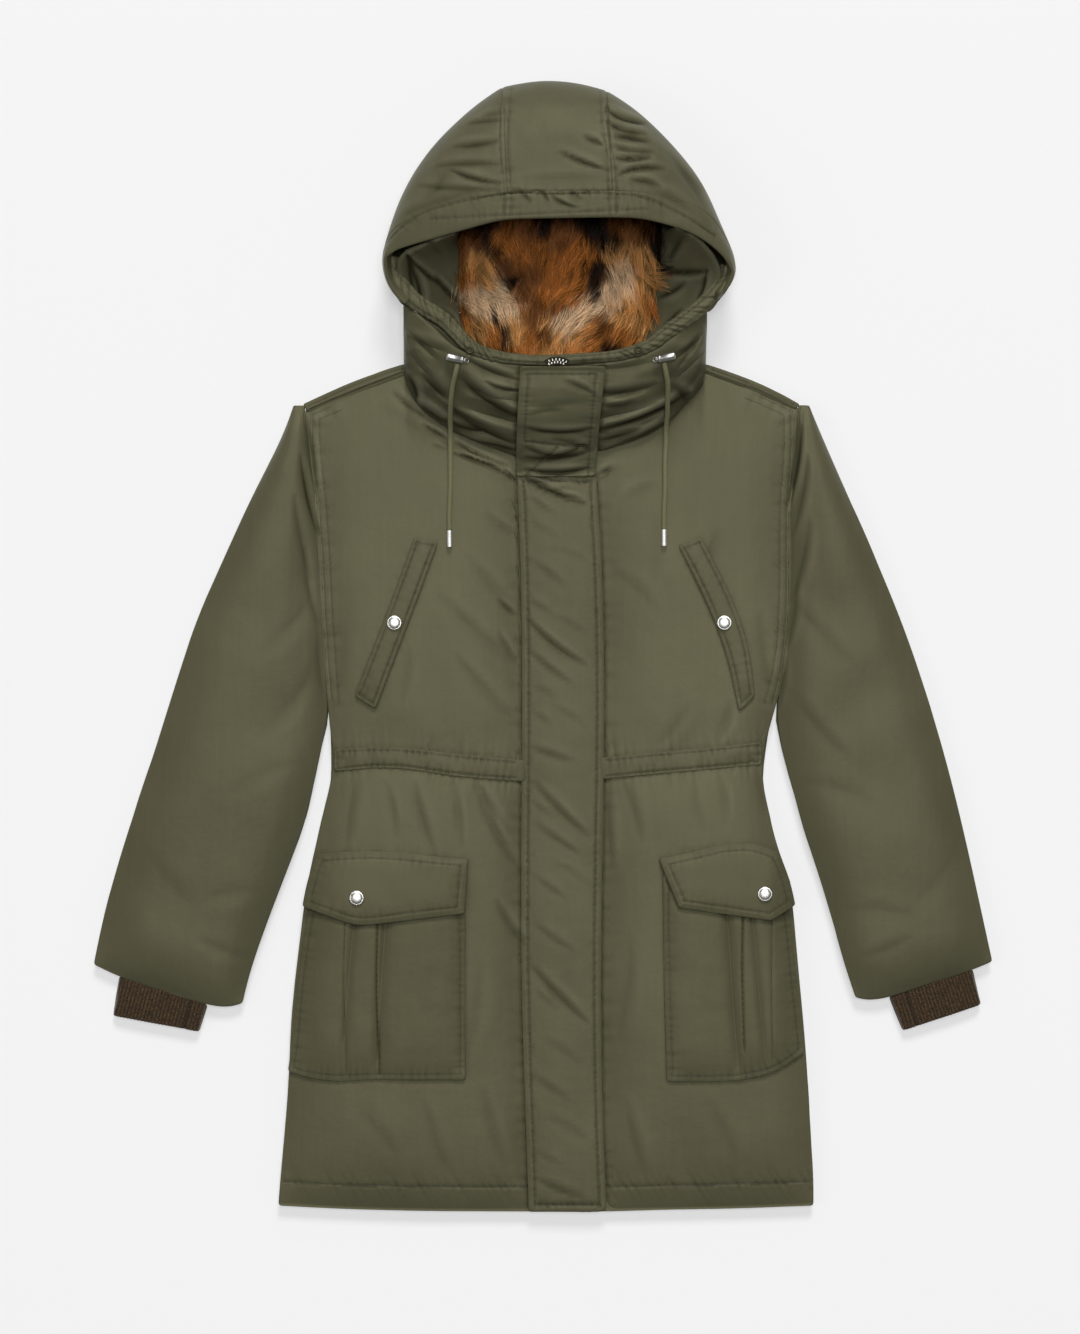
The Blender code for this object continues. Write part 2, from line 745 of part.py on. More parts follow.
def make_fronts():
    fronts = []
    for which in ("left", "right"):
        hem_rows = HEM["x"] <= -14 if which == "left" else HEM["x"] >= 64
        hem = side(HEM["x"][hem_rows], HEM["y"][hem_rows])
        low = hem if which == "left" else (lambda fractions, hem=hem: hem(1 - np.asarray(fractions)))
        high = shoulder_and_neck(which)
        outer = side(np.append(TORSO[which][:-1], SHOULDER[which + "_x"][0]),
                     np.append(TORSO["y"][:-1], SHOULDER[which + "_y"][0]))
        edge = placket_edge(which)
        across = FRONT_ACROSS
        up = np.array([0.0, 0.02, 0.05, 0.1, 0.16, 0.22, 0.28, 0.34, 0.4, 0.45, 0.5, 0.54,
                       0.57, 0.6, 0.65, 0.7, 0.75, 0.8, 0.85, 0.89, 0.93, 0.97, 1.0])
        plan = patch(low, high, outer, edge, across, up)
        puff = swell(across, 0.22)[None, :] * swell(up, 0.07)[:, None]
        waist = 1 - 0.45 * np.exp(-((plan[..., 1] + 121) / 26) ** 2)
        heights = SEAM_HEIGHT - 1 + BODY_LOFT * puff * waist - folds(plan, FRONT_FOLDS) * puff
        heights[:, -1] = FLY_HEIGHT
        at_zip = plan[:, -1:].copy()
        at_zip[..., 0] = ZIP_LINE + half_gap(which)
        plan = np.concatenate([plan, at_zip], axis=1)
        heights = np.concatenate([heights, np.full((len(up), 1), FLY_HEIGHT)], axis=1)
        fronts.append(panel("front_" + which, plan, heights, TOP_FLOOR, SHELL))
        fold_x = np.array([-243, -187, -141.5]) if which == "left" else np.array([260, 220, 165])
        fold = side(fold_x, SHOULDER["fold_" + which + "_y"])
        seam = side(SHOULDER[which + "_x"], SHOULDER[which + "_y"] + 2 * SEAM_GAP)
        strip_up = np.array([0.0, 0.4, 1.0])
        strip_across = across[across <= NECK_CORNER] / NECK_CORNER
        strip = patch(seam, fold, straight(seam([0])[0], fold([0])[0]),
                      straight(seam([1])[0], fold([1])[0]), strip_across, strip_up)
        rise = np.array([SEAM_HEIGHT - 1, SEAM_HEIGHT + 1, SEAM_HEIGHT - 3])
        tall = np.repeat(rise[:, None], len(strip_across), axis=1)
        panel("shoulder_" + which, strip, tall, TOP_FLOOR, SHELL)
    return fronts


def make_placket():
    up = np.linspace(0, 1, 25)
    across = np.array([0.0, 0.1, 0.3, 0.5, 0.7, 0.9, 1.0])
    sides = []
    for which, inset in (("left", SEAM_GAP * 2), ("right", -SEAM_GAP * 2)):
        share = np.ptp(PLACKET["y"]) / (NECKLINE[which + "_y"][-1] - PLACKET["y"][0])
        sides.append(lambda fractions, edge=placket_edge(which), share=share, inset=inset:
                     edge(np.asarray(fractions) * share) + [inset, 0.0])
    left, right = sides
    plan = patch(straight(left([0])[0], right([0])[0]), straight(left([1])[0], right([1])[0]),
                 left, right, across, up)
    puff = swell(across, 0.25)[None, :] * swell(up, 0.03)[:, None]
    heights = FLY_HEIGHT + SEAM_GAP + PLACKET_EDGE + PLACKET_LOFT * puff - folds(plan, PLACKET_FOLDS)
    return panel("placket", plan, heights, FLY_HEIGHT + SEAM_GAP, SHELL)


# ---- collar ----

def make_collar():
    halves = []
    up = np.array([0.0, 0.05, 0.12, 0.2, 0.28, 0.36, 0.44, 0.52, 0.6, 0.68, 0.76, 0.84, 0.92, 1.0])
    across = np.array([0.0, 0.05, 0.11, 0.19, 0.28, 0.38, 0.5, 0.62, 0.74, 0.8, 1.0])
    for which in ("left", "right"):
        inward = SEAM_GAP * 2 if which == "left" else -SEAM_GAP * 2
        neck = shoulder_and_neck(which)(FRONT_ACROSS[FRONT_ACROSS >= NECK_CORNER]) + [inward, SEAM_GAP * 2]
        foot = np.concatenate([[COLLAR_CORNER[which]], neck, [[ZIP_LINE, neck[-1, 1]]]])
        low = (lambda fractions, foot=foot: np.column_stack(
            [np.interp(fractions, across, foot[:, 0]), np.interp(fractions, across, foot[:, 1])]))
        high = side(COLLAR_TOP[which + "_x"], COLLAR_TOP[which + "_y"])
        plan = patch(low, high, straight(low([0])[0], high([0])[0]), straight(low([1])[0], high([1])[0]),
                     across, up)
        plan[:, -1, 0] = ZIP_LINE + half_gap(which)
        u = across[None, :]
        v = up[:, None]
        rise = np.sin(math.pi / 2 * v**0.75)
        sides = COLLAR_SIDE + (1 - COLLAR_SIDE) * np.clip(u / 0.14, 0, 1) ** 0.6
        full = COLLAR_SEAM + (COLLAR_HEIGHT - COLLAR_SEAM) * rise * sides
        for at, drop, depth, width in zip(*COLLAR_FOLDS.values()):
            center = at + drop * u
            full = full - depth * np.exp(-((v - center) / width) ** 2) * np.clip(u / 0.1, 0, 1)
        floors = np.maximum(TOP_FLOOR, full - COLLAR_WALL)
        floors[:, 0] = TOP_FLOOR
        floors[:, 1] = TOP_FLOOR
        floors[0] = TOP_FLOOR
        floors[1] = TOP_FLOOR
        halves.append(panel("collar_" + which, plan, full, floors, SHELL))
        outer = high(across[1:])
        strip = np.stack([outer + inward_of(outer, which) * reach for reach in RIM["reach"]])
        strip[:, -1, 0] = ZIP_LINE + half_gap(which)
        tall = np.repeat((COLLAR_HEIGHT + RIM["rise"])[:, None], len(outer), axis=1)
        panel("hood_rim_" + which, strip, tall, tall - RIM_WALL, SHELL)
    return halves


def make_collar_tab(tree):
    up = np.linspace(0, 1, 13)
    across = np.array([0.0, 0.12, 0.5, 0.88, 1.0])
    left = side([-26, -26, -22], [172, 190, 279])
    right = side([52, 57, 62], [172, 234, 279])
    plan = patch(straight(left([0])[0], right([0])[0]), straight(left([1])[0], right([1])[0]),
                 left, right, across, up)
    return lying_panel("collar_tab", plan, across, up, tree, 4.5, 2.0, SHELL, reach=5.0)


# ---- hood ----

def hood_column(names, place):
    """Columns of the hood table at a place between two of its sections."""
    return between([HOOD[name] for name in names], place)


def hood_section(place):
    """The hood's outer line at one section, from the rim over the crown to where it rests."""
    rim_x, rim_y, rim_z, out_x, out_y, out_z, rest_x, rest_y = hood_column(HOOD, place)
    rim = np.array([rim_x, rim_y, rim_z])
    out = np.array([out_x, out_y, out_z])
    rest = np.array([rest_x, rest_y, 0.0])
    bulge = CROWN_BULGE * min(1.0, np.linalg.norm(rim - out) / 80)
    curve = []
    for turn in np.linspace(0, math.pi / 2, 24):
        point = out + (rim - out) * (1 - math.sin(turn))
        point[2] = out_z + (rim_z - out_z) * math.cos(turn) + bulge * math.sin(2 * turn)
        curve.append(point)
    for turn in np.linspace(0, math.pi / 2, 14)[1:]:
        point = out + (rest - out) * (1 - REST_PART) * (1 - math.cos(turn))
        point[2] = out_z * (1 - math.sin(turn))
        curve.append(point)
    curve.append(rest)
    curve = np.array(curve)
    run = np.concatenate([[0.0], np.cumsum(np.linalg.norm(np.diff(curve, axis=0), axis=1))])
    return curve, run


def hood_read(place, shares):
    curve, run = hood_section(place)
    return np.column_stack([np.interp(np.asarray(shares) * run[-1], run, curve[:, k]) for k in range(3)])


def hood_wall(name, places, shares, start, wall, color, roughness=0.55):
    """A wall of cloth in the hood's surface: a row for each section, `start` inside the outer line.

    `shares(place)` gives the parts of the section's length that the row is read at.
    """
    step = 0.05
    reach = 0.01
    upper = []
    lower = []
    for place in places:
        at = np.asarray(shares(place))
        points = hood_read(place, at)
        along = hood_read(min(place + step, LAST_SECTION), at) - hood_read(max(place - step, 0.0), at)
        down = hood_read(place, np.minimum(at + reach, 1.0)) - hood_read(place, np.maximum(at - reach, 0.0))
        normal = np.cross(along, down)
        normal /= np.linalg.norm(normal, axis=1, keepdims=True)
        upper.append(points - start * normal)
        lower.append(points - (start + wall) * normal)
    return grid_solid(name, np.array(upper), np.array(lower), color, roughness)


def tunnel_share(place):
    return TUNNEL_WIDTH / hood_section(place)[1][-1]


def make_hood():
    panel_parts = np.array([0.0, 0.14, 0.28, 0.42, 0.54, 0.66, 0.78, 0.9])

    def panel_shares(place):
        start = tunnel_share(place) * (1 + SEAM_GAP / TUNNEL_WIDTH)
        return np.append(start + (1 - start) * panel_parts, 1.0)

    def band_shares(place):
        return tunnel_share(place) * np.array([0.0, 0.5, 1.0])

    hood_wall("hood_side_left", LEFT_PLACES, panel_shares, 0.0, HOOD_WALL, SHELL)
    hood_wall("hood_centre", CENTRE_PLACES, panel_shares, 0.0, HOOD_WALL, SHELL)
    hood_wall("hood_side_right", RIGHT_PLACES, panel_shares, 0.0, HOOD_WALL, SHELL)
    hood_wall("hood_band", ALL_PLACES, band_shares, 0.0, HOOD_WALL, SHELL)


def lining_rim(which):
    """Where the lining leaves the rim, from under the visor round to the middle of the collar."""
    visor = np.array([hood_column(("rim_x", "rim_y", "rim_z"), place) for place in LINING_FROM[which]])
    toward = OPENING_MIDDLE - visor[:, :2]
    toward /= np.linalg.norm(toward, axis=1, keepdims=True)
    visor[:, :2] += LINING_FROM["inset"][:, None] * toward
    visor[:, 2] -= LINING_FROM["drop"]
    seam = np.column_stack([COLLAR_TOP[which + "_x"], COLLAR_TOP[which + "_y"]])
    inward = inward_of(seam, which)
    seam = (seam + inward * LINING_REACH)[1:]
    seam[-1, 0] = ZIP_LINE + half_gap(which)
    collar = np.column_stack([seam, np.full(len(seam), LINING_TOP)])
    return side(*np.concatenate([visor, collar]).T)


def lining_foot(which):
    """Where the lining meets the fur, from under the hood down and along to the middle."""
    rows = FUR_SIDES["y"] <= LINING_UNDER
    edge = np.column_stack([FUR_SIDES[which], FUR_SIDES["y"]])[rows][::-1]
    edge = edge - inward_of(edge, which) * FUR_CLEAR
    low = FUR_SIDES["y"][0] - FUR_CLEAR
    end = ZIP_LINE + half_gap(which)
    return side(*np.vstack([edge, [(edge[-1, 0] + end) / 2, low], [end, low]]).T)


def make_lining():
    """The two sloping walls of lining between the rim of the face opening and the fur."""
    along = np.linspace(0, 1, 30)
    down = np.linspace(0, 1, 7)
    for which in ("left", "right"):
        rim = lining_rim(which)(along)
        foot = lining_foot(which)(along)
        surface = np.zeros((len(along), len(down), 3))
        for j, part in enumerate(down):
            surface[:, j, :2] = rim[:, :2] * (1 - part) + foot * part
            surface[:, j, 2] = LINING_FOOT + (rim[:, 2] - LINING_FOOT) * (1 - part) ** LINING_SAG
        normal = np.cross(np.gradient(surface, axis=0), np.gradient(surface, axis=1))
        normal /= np.linalg.norm(normal, axis=2, keepdims=True)
        if which == "right":
            normal = -normal
        grid_solid("hood_lining_" + which, surface, surface - LINING_WALL * normal, LINING, 0.5)


def make_fur():
    """The plain solid that the long hair of the hood and neck reaches."""
    up = np.concatenate([np.linspace(0, 0.24, 8), np.linspace(0.3, 1, 10)])
    across = np.array([0.0, 0.05, 0.12, 0.22, 0.36, 0.5, 0.64, 0.78, 0.88, 0.95, 1.0])
    left = side(FUR_SIDES["left"], FUR_SIDES["y"])
    right = side(FUR_SIDES["right"], FUR_SIDES["y"])
    plan = patch(straight(left([0])[0], right([0])[0]), straight(left([1])[0], right([1])[0]),
                 left, right, across, up)
    puff = swell(across, 0.22)[None, :] * swell(up, 0.12)[:, None]
    floor = LOWER_LAYER + SEAM_GAP + LINING_WALL + SEAM_GAP
    panel("fur_lining", plan, floor + FUR_EDGE + FUR_REACH * puff, floor, FUR, roughness=0.9)


# ---- trims that lie on the fronts ----

def make_trims(tree):
    welts = []
    for which in ("left", "right"):
        upper = side(CASING[which + "_x"], CASING["top_" + which + "_y"])
        lower = side(CASING[which + "_x"], CASING["low_" + which + "_y"])
        across = np.linspace(0, 1, 12)
        up = np.array([0.0, 0.5, 1.0])
        plan = patch(lower, upper, straight(lower([0])[0], upper([0])[0]),
                     straight(lower([1])[0], upper([1])[0]), across, up)
        lying_panel("waist_casing_" + which, plan, across, up, tree, 2.0, 1.5, SHELL, reach=3.0)
        outer = side(WELT[which + "_x"], WELT[which + "_y"])
        inner = side(WELT[which + "_x2"], WELT[which + "_y2"])
        up = np.linspace(0, 1, 9)
        across = np.array([0.0, 0.25, 0.75, 1.0])
        plan = patch(straight(outer([0])[0], inner([0])[0]), straight(outer([1])[0], inner([1])[0]),
                     outer, inner, across, up)
        welts.append(lying_panel("chest_welt_" + which, plan, across, up, tree, 3.0, 1.5, SHELL))
    return welts


def make_pockets(tree):
    bags = []
    across = np.array([0.0, 0.07, 0.17, 0.27, 0.3, 0.33, 0.4, 0.465, 0.5, 0.535, 0.72, 0.92, 1.0])
    up = np.array([0.0, 0.05, 0.15, 0.3, 0.45, 0.6, 0.75, 0.88, 1.0])
    for which, rows, inner_x in (("left", POCKET_LEFT, -80), ("right", POCKET_RIGHT, 123)):
        outer = side(rows["x"], rows["y"])
        if which == "left":
            low = side([-258, -240, -165, inner_x], [-433, -439, -441, -441])
            inner = straight((inner_x, -441), (inner_x, -228))
        else:
            low = side([264, 235, 203, inner_x + 4], [-414, -433, -441, -443])
            inner = side([inner_x + 4, inner_x + 1, inner_x], [-443, -330, -228])
        plan = patch(low, straight(outer([1])[0], inner([1])[0]), outer, inner, across, up)
        relief = np.zeros(plan.shape[:2])
        for at, depth, width in zip(*PLEATS.values()):
            relief += depth * np.exp(-((across[None, :] - at) / width) ** 2) * (up[:, None] > 0.02)
        floors = rest_heights(plan, tree, 3.0) + DRAPE_GAP
        puff = swell(across, 0.12)[None, :] * swell(up, 0.15)[:, None]
        heights = floors + 2.2 + 5.0 * puff - relief * puff
        bags.append(panel("pocket_" + which, plan, heights, floors, SHELL))
    return bags


def make_flaps(tree):
    across = np.array([0.0, 0.08, 0.2, 0.34, 0.48, 0.62, 0.76, 0.9, 1.0])
    up = np.array([0.0, 0.12, 0.4, 0.7, 0.9, 1.0])
    flaps = []
    for which in ("left", "right"):
        if which == "left":
            high = side([-229, -190, -77], [-214, -211, -219])
            low = cornered(straight((-243, -265), (-189, -285)), straight((-189, -285), (-81, -272)), 0.34)
            outer = side([-243, -238, -229], [-265, -240, -214])
            inner = straight((-81, -272), (-77, -219))
        else:
            high = side([239, 230, 119], [-213, -208, -218])
            low = cornered(straight((255, -264), (231, -279)), straight((231, -279), (139, -266)), 0.2)
            outer = side([255, 249, 239], [-264, -238, -213])
            inner = straight((139, -266), (119, -218))
        plan = patch(low, high, outer, inner, across, up)
        floors = rest_heights(plan, tree, 8.0) + DRAPE_GAP
        puff = swell(across, 0.12)[None, :] * swell(up, 0.2)[:, None]
        flaps.append(panel("flap_" + which, plan, floors + 3.0 + 2.0 * puff, floors, SHELL))
    return flaps


def make_snaps(welts, flaps):
    profile = ((0.0, 0.0), (SNAP_RADIUS * 0.9, 0.0), (SNAP_RADIUS, 0.6), (SNAP_RADIUS, 1.4),
               (SNAP_RADIUS * 0.86, 2.3), (SNAP_RADIUS * 0.5, SNAP_HEIGHT - 0.2), (0.0, SNAP_HEIGHT))
    places = (("snap_chest_left", -151, 22, welts[0]), ("snap_chest_right", 184, 22, welts[1]),
              ("snap_flap_left", -189, -257, flaps[0]), ("snap_flap_right", 225, -253, flaps[1]))
    for name, x, y, carrier in places:
        plan = np.array([[[x, y]]], float)
        height = rest_heights(plan, surface_tree(carrier), SNAP_RADIUS)[0, 0] + SEAM_GAP
        turned(name, profile, (x, y, height), (0, 0, 1), SILVER)


# ---- drawcords ----

# Each route starts under its toggle and ends at the metal tip.
CORD_LEFT = (
    (-86, 283, 64.0), (-88, 274, 62.5), (-91, 262, 56.0), (-93, 248, 48.5), (-94, 233, 38.0),
    (-94, 219, 28.2), (-94, 205, 23.5), (-94, 185, 23.8), (-94, 160, 25.5), (-95, 135, 25.7),
    (-95, 116, 25.7))
CORD_RIGHT = (
    (122, 284, 64.0), (124, 274, 62.0), (126, 262, 55.5), (126, 248, 46.5), (126, 233, 36.0),
    (125, 219, 27.0), (125, 205, 23.8), (124, 185, 24.2), (124, 160, 25.5), (123, 135, 25.7),
    (123, 117, 25.7))


def make_cords():
    for which, route in (("left", CORD_LEFT), ("right", CORD_RIGHT)):
        knots = np.array(route)
        points = side(knots[:, 0], knots[:, 1], knots[:, 2])(np.linspace(0, 1, CORD_POINTS))
        data = bpy.data.curves.new("cord_" + which, "CURVE")
        data.dimensions = "3D"
        data.bevel_depth = CORD_RADIUS * MM
        data.bevel_resolution = 2
        data.use_fill_caps = True
        spline = data.splines.new("POLY")
        spline.points.add(CORD_POINTS - 1)
        for point, place in zip(spline.points, points):
            point.co = (*(place * MM), 1.0)
        cord = bpy.data.objects.new("cord_" + which, data)
        bpy.context.scene.collection.objects.link(cord)
        paint(cord, CORD, 0.75, 0.0)
        end = points[-1]
        away = points[-1] - points[-2]
        away = away / np.linalg.norm(away)
        tip_profile = ((0.0, 0.0), (TIP_RADIUS * 0.9, 0.0), (TIP_RADIUS, 0.5),
                       (TIP_RADIUS, TIP_LENGTH - 0.5), (TIP_RADIUS * 0.9, TIP_LENGTH), (0.0, TIP_LENGTH))
        turned("cord_tip_" + which, tip_profile, end + away * SEAM_GAP, away, SILVER, steps=16)
        start = points[0]
        outward = -1.0 if which == "left" else 1.0
        middle = start + np.array([outward, CORD_CLEAR + TOGGLE_RADIUS, 0.0])
        half = TOGGLE_LENGTH / 2
        barrel = ((0.0, -half), (2.4, -half), (2.4, -half + 3), (TOGGLE_RADIUS, -half + 3.6),
                  (TOGGLE_RADIUS, half - 1), (TOGGLE_RADIUS - 1, half), (0.0, half))
        axis = (-1, 0, 0) if which == "left" else (1, 0, 0)
        turned("toggle_" + which, barrel, middle, axis, SILVER, steps=18)


def make_eyelets_and_zip(tree):
    ring = ((EYELET_HOLE, 0.0), (EYELET_RADIUS, 0.0), (EYELET_RADIUS, 0.7),
            (EYELET_HOLE, 1.0), (EYELET_HOLE, 0.0))
    for which, x, y in (("left", -74, 297), ("right", 96, 297)):
        plan = np.array([[[x, y]]], float)
        height = rest_heights(plan, tree, EYELET_RADIUS)[0, 0] + DRAPE_GAP
        turned("eyelet_" + which, ring, (x, y, height), (0, 0, 1), SILVER)
    mesh = bmesh.new()
    bmesh.ops.create_cube(mesh, size=1.0)
    bmesh.ops.scale(mesh, vec=Vector((22, 7, 4)) * MM, verts=mesh.verts)
    bmesh.ops.bevel(mesh, geom=mesh.edges, offset=1.0 * MM, offset_type="OFFSET", affect="EDGES",
                    segments=2, profile=0.5, clamp_overlap=True, material=-1)
    thing = finish(mesh, "zip_top", SILVER, 0.25, 1.0, smooth=False)
    plan = np.array([[[14, 286]]], float)
    height = rest_heights(plan, tree, 12.0)[0, 0] + 2 * DRAPE_GAP + 2.0
    thing.location = Vector((14, 286, height)) * MM


def main():
    for thing in list(bpy.data.objects):
        bpy.data.objects.remove(thing, do_unlink=True)
    make_lower_layer()
    fronts = make_fronts()
    make_sleeves()
    placket = make_placket()
    collars = make_collar()
    make_collar_tab(surface_tree(placket, *fronts, *collars))
    make_hood()
    make_lining()
    make_fur()
    on_fronts = surface_tree(*fronts)
    welts = make_trims(on_fronts)
    bags = make_pockets(on_fronts)
    flaps = make_flaps(surface_tree(*fronts, *bags))
    make_snaps(welts, flaps)
    make_cords()
    rims = [bpy.data.objects["hood_rim_left"], bpy.data.objects["hood_rim_right"]]
    make_eyelets_and_zip(surface_tree(*rims, *collars))


main()
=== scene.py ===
import math
import random

import bmesh
import bpy
import numpy as np
from mathutils import Matrix, Vector, noise
from mathutils.bvhtree import BVHTree
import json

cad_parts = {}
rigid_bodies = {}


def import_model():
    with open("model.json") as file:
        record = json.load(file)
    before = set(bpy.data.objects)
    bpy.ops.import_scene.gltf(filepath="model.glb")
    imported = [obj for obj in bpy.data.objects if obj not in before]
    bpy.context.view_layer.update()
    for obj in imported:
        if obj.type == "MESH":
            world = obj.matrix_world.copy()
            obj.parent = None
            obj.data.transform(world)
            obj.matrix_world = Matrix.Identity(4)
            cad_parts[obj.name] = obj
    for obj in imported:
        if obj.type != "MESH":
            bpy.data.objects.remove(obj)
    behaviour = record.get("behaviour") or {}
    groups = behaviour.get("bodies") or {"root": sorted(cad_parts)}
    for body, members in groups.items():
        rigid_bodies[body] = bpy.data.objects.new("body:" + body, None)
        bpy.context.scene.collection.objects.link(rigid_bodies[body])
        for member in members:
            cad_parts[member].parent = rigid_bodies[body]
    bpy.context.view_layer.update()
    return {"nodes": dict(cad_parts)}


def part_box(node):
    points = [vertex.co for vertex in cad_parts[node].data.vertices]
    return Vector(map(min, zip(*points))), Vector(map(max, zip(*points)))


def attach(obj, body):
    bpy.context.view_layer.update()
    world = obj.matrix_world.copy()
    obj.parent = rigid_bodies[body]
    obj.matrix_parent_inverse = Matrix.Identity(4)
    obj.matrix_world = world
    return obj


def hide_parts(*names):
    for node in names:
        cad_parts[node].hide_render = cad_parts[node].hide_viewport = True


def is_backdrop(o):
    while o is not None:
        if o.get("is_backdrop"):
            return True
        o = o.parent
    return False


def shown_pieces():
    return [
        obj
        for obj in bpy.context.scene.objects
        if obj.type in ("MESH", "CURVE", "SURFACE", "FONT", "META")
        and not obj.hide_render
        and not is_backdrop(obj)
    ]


# A padded parka laid flat on its back. Lengths in the settings are millimetres, and the meshes are in metres.
mm = 0.001
down = Vector((0.0, 0.0, -1.0))

for thing in list(bpy.data.objects):
    bpy.data.objects.remove(thing)
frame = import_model()
nodes = frame["nodes"]
collection = bpy.context.scene.collection


# camera, floor and light

camera = {"place": (-3.06, -22.95, 5670.0), "lens": 150.0, "sensor": 36.0, "sight": 60000.0}
floorSheet = {"size": 24000.0, "below": 0.2, "grain": 10 / 7, "glow": 0.42}
lamps = {
    "headLight": {"place": (480, 1600, 15200), "size": 4160, "watts": 950},
    "keyLight": {"place": (1800, 20800, 17400), "size": 7800, "watts": 4000},
    "sideLight": {"place": (-15200, -2400, 13200), "size": 8800, "watts": 270},
}
worldLight = {"colour": "#F7F7FA", "strength": 0.19}


def linear(hexCode):
    # An sRGB colour as linear light, with full alpha.
    parts = [int(hexCode[i:i + 2], 16) / 255 for i in (1, 3, 5)]
    return tuple(p / 12.92 if p <= 0.04045 else ((p + 0.055) / 1.055) ** 2.4 for p in parts) + (1.0,)


def setTheStage():
    lens = bpy.data.cameras.new("camera")
    lens.lens = camera["lens"]
    lens.sensor_width = camera["sensor"]
    lens.clip_end = camera["sight"] * mm
    eye = bpy.data.objects.new("camera", lens)
    eye.location = Vector(camera["place"]) * mm
    collection.objects.link(eye)
    bpy.context.scene.camera = eye
    for name, s in lamps.items():
        light = bpy.data.lights.new(name, "AREA")
        light.size = s["size"] * mm
        light.energy = s["watts"]
        lamp = bpy.data.objects.new(name, light)
        lamp.location = Vector(s["place"]) * mm
        lamp.rotation_euler = (-lamp.location).to_track_quat("-Z", "Y").to_euler()
        lamp.visible_camera = False
        collection.objects.link(lamp)
    world = bpy.data.worlds.new("softRoom")
    world.use_nodes = True
    back = world.node_tree.nodes["Background"]
    back.inputs["Color"].default_value = linear(worldLight["colour"])
    back.inputs["Strength"].default_value = worldLight["strength"]
    bpy.context.scene.world = world
    bpy.context.scene.view_settings.view_transform = "Standard"
    mesh = bmesh.new()
    bmesh.ops.create_grid(mesh, x_segments=1, y_segments=1, size=floorSheet["size"] / 2 * mm)
    floor = toObject(mesh, "floor")
    floor.location.z = -floorSheet["below"] * mm
    floor.data.materials.append(floorAcrylic)
    floor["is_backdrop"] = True


def addNode(tree, kind, settings=None, links=None, ramp=()):
    # One node with its settings, its links and, for a colour ramp, the place and colour of each stop.
    made = tree.nodes.new("ShaderNode" + kind)
    for key, value in (settings or {}).items():
        if isinstance(key, str) and hasattr(made, key):
            setattr(made, key, value)
        else:
            made.inputs[key].default_value = value
    for number, (place, hexCode) in enumerate(ramp):
        made.color_ramp.elements[number].position = place
        made.color_ramp.elements[number].color = linear(hexCode)
    for key, source in (links or {}).items():
        tree.links.new(source, made.inputs[key])
    return made


def newMaterial(name, **shader):
    material = bpy.data.materials.new(name)
    material.use_nodes = True
    tree = material.node_tree
    surface = tree.nodes["Principled BSDF"]
    for key, value in shader.items():
        surface.inputs[key.replace("_", " ")].default_value = value
    return material, tree, surface


# materials

def twoTone(name, size, detail, stops, **shader):
    # A surface whose colour wanders between two tones, in patches of about a size.
    material, tree, surface = newMaterial(name, **shader)
    place = addNode(tree, "TexCoord").outputs["Object"]
    fleck = addNode(tree, "TexNoise", {"Scale": 1 / (size * mm), "Detail": detail}, {"Vector": place})
    tone = addNode(tree, "ValToRGB", {}, {"Fac": fleck.outputs["Fac"]}, stops)
    tree.links.new(tone.outputs["Color"], surface.inputs["Base Color"])
    return material, tree, surface, fleck, tone


def acrylicFloor():  # white acrylic of a light table, lit from below as well as from above
    material, _, surface, _, _ = twoTone(
        "lightTable", floorSheet["grain"], 2.0, ((0, "#B9B9BA"), (1, "#BDBDBD")), Roughness=0.9)
    surface.inputs["Emission Color"].default_value = (1.0, 1.0, 1.0, 1.0)
    surface.inputs["Emission Strength"].default_value = floorSheet["glow"]
    return material


nylon = {
    "thread": 0.9,       # pitch of the weave, drawn about four times as coarse as the real 0.2 mm to show
    "crinkle": 9.0,      # size of the fine crinkles that packing leaves
    "cloud": 130.0,      # size of the soft light and dark places
    "slub": 5.0,         # width of the faint streaks along the thread
    "shade": (0.24, 0.22, 0.18, 1.0),   # painted shade: what is left of the colour in a deep fold
    "paintedHighlight": (0.10, 0.095, 0.07, 1.0),    # painted highlight: what the light adds on a sharp ridge
}
bandsPerUnit = 3.18      # how many bands a wave texture has in one unit of length at scale 1


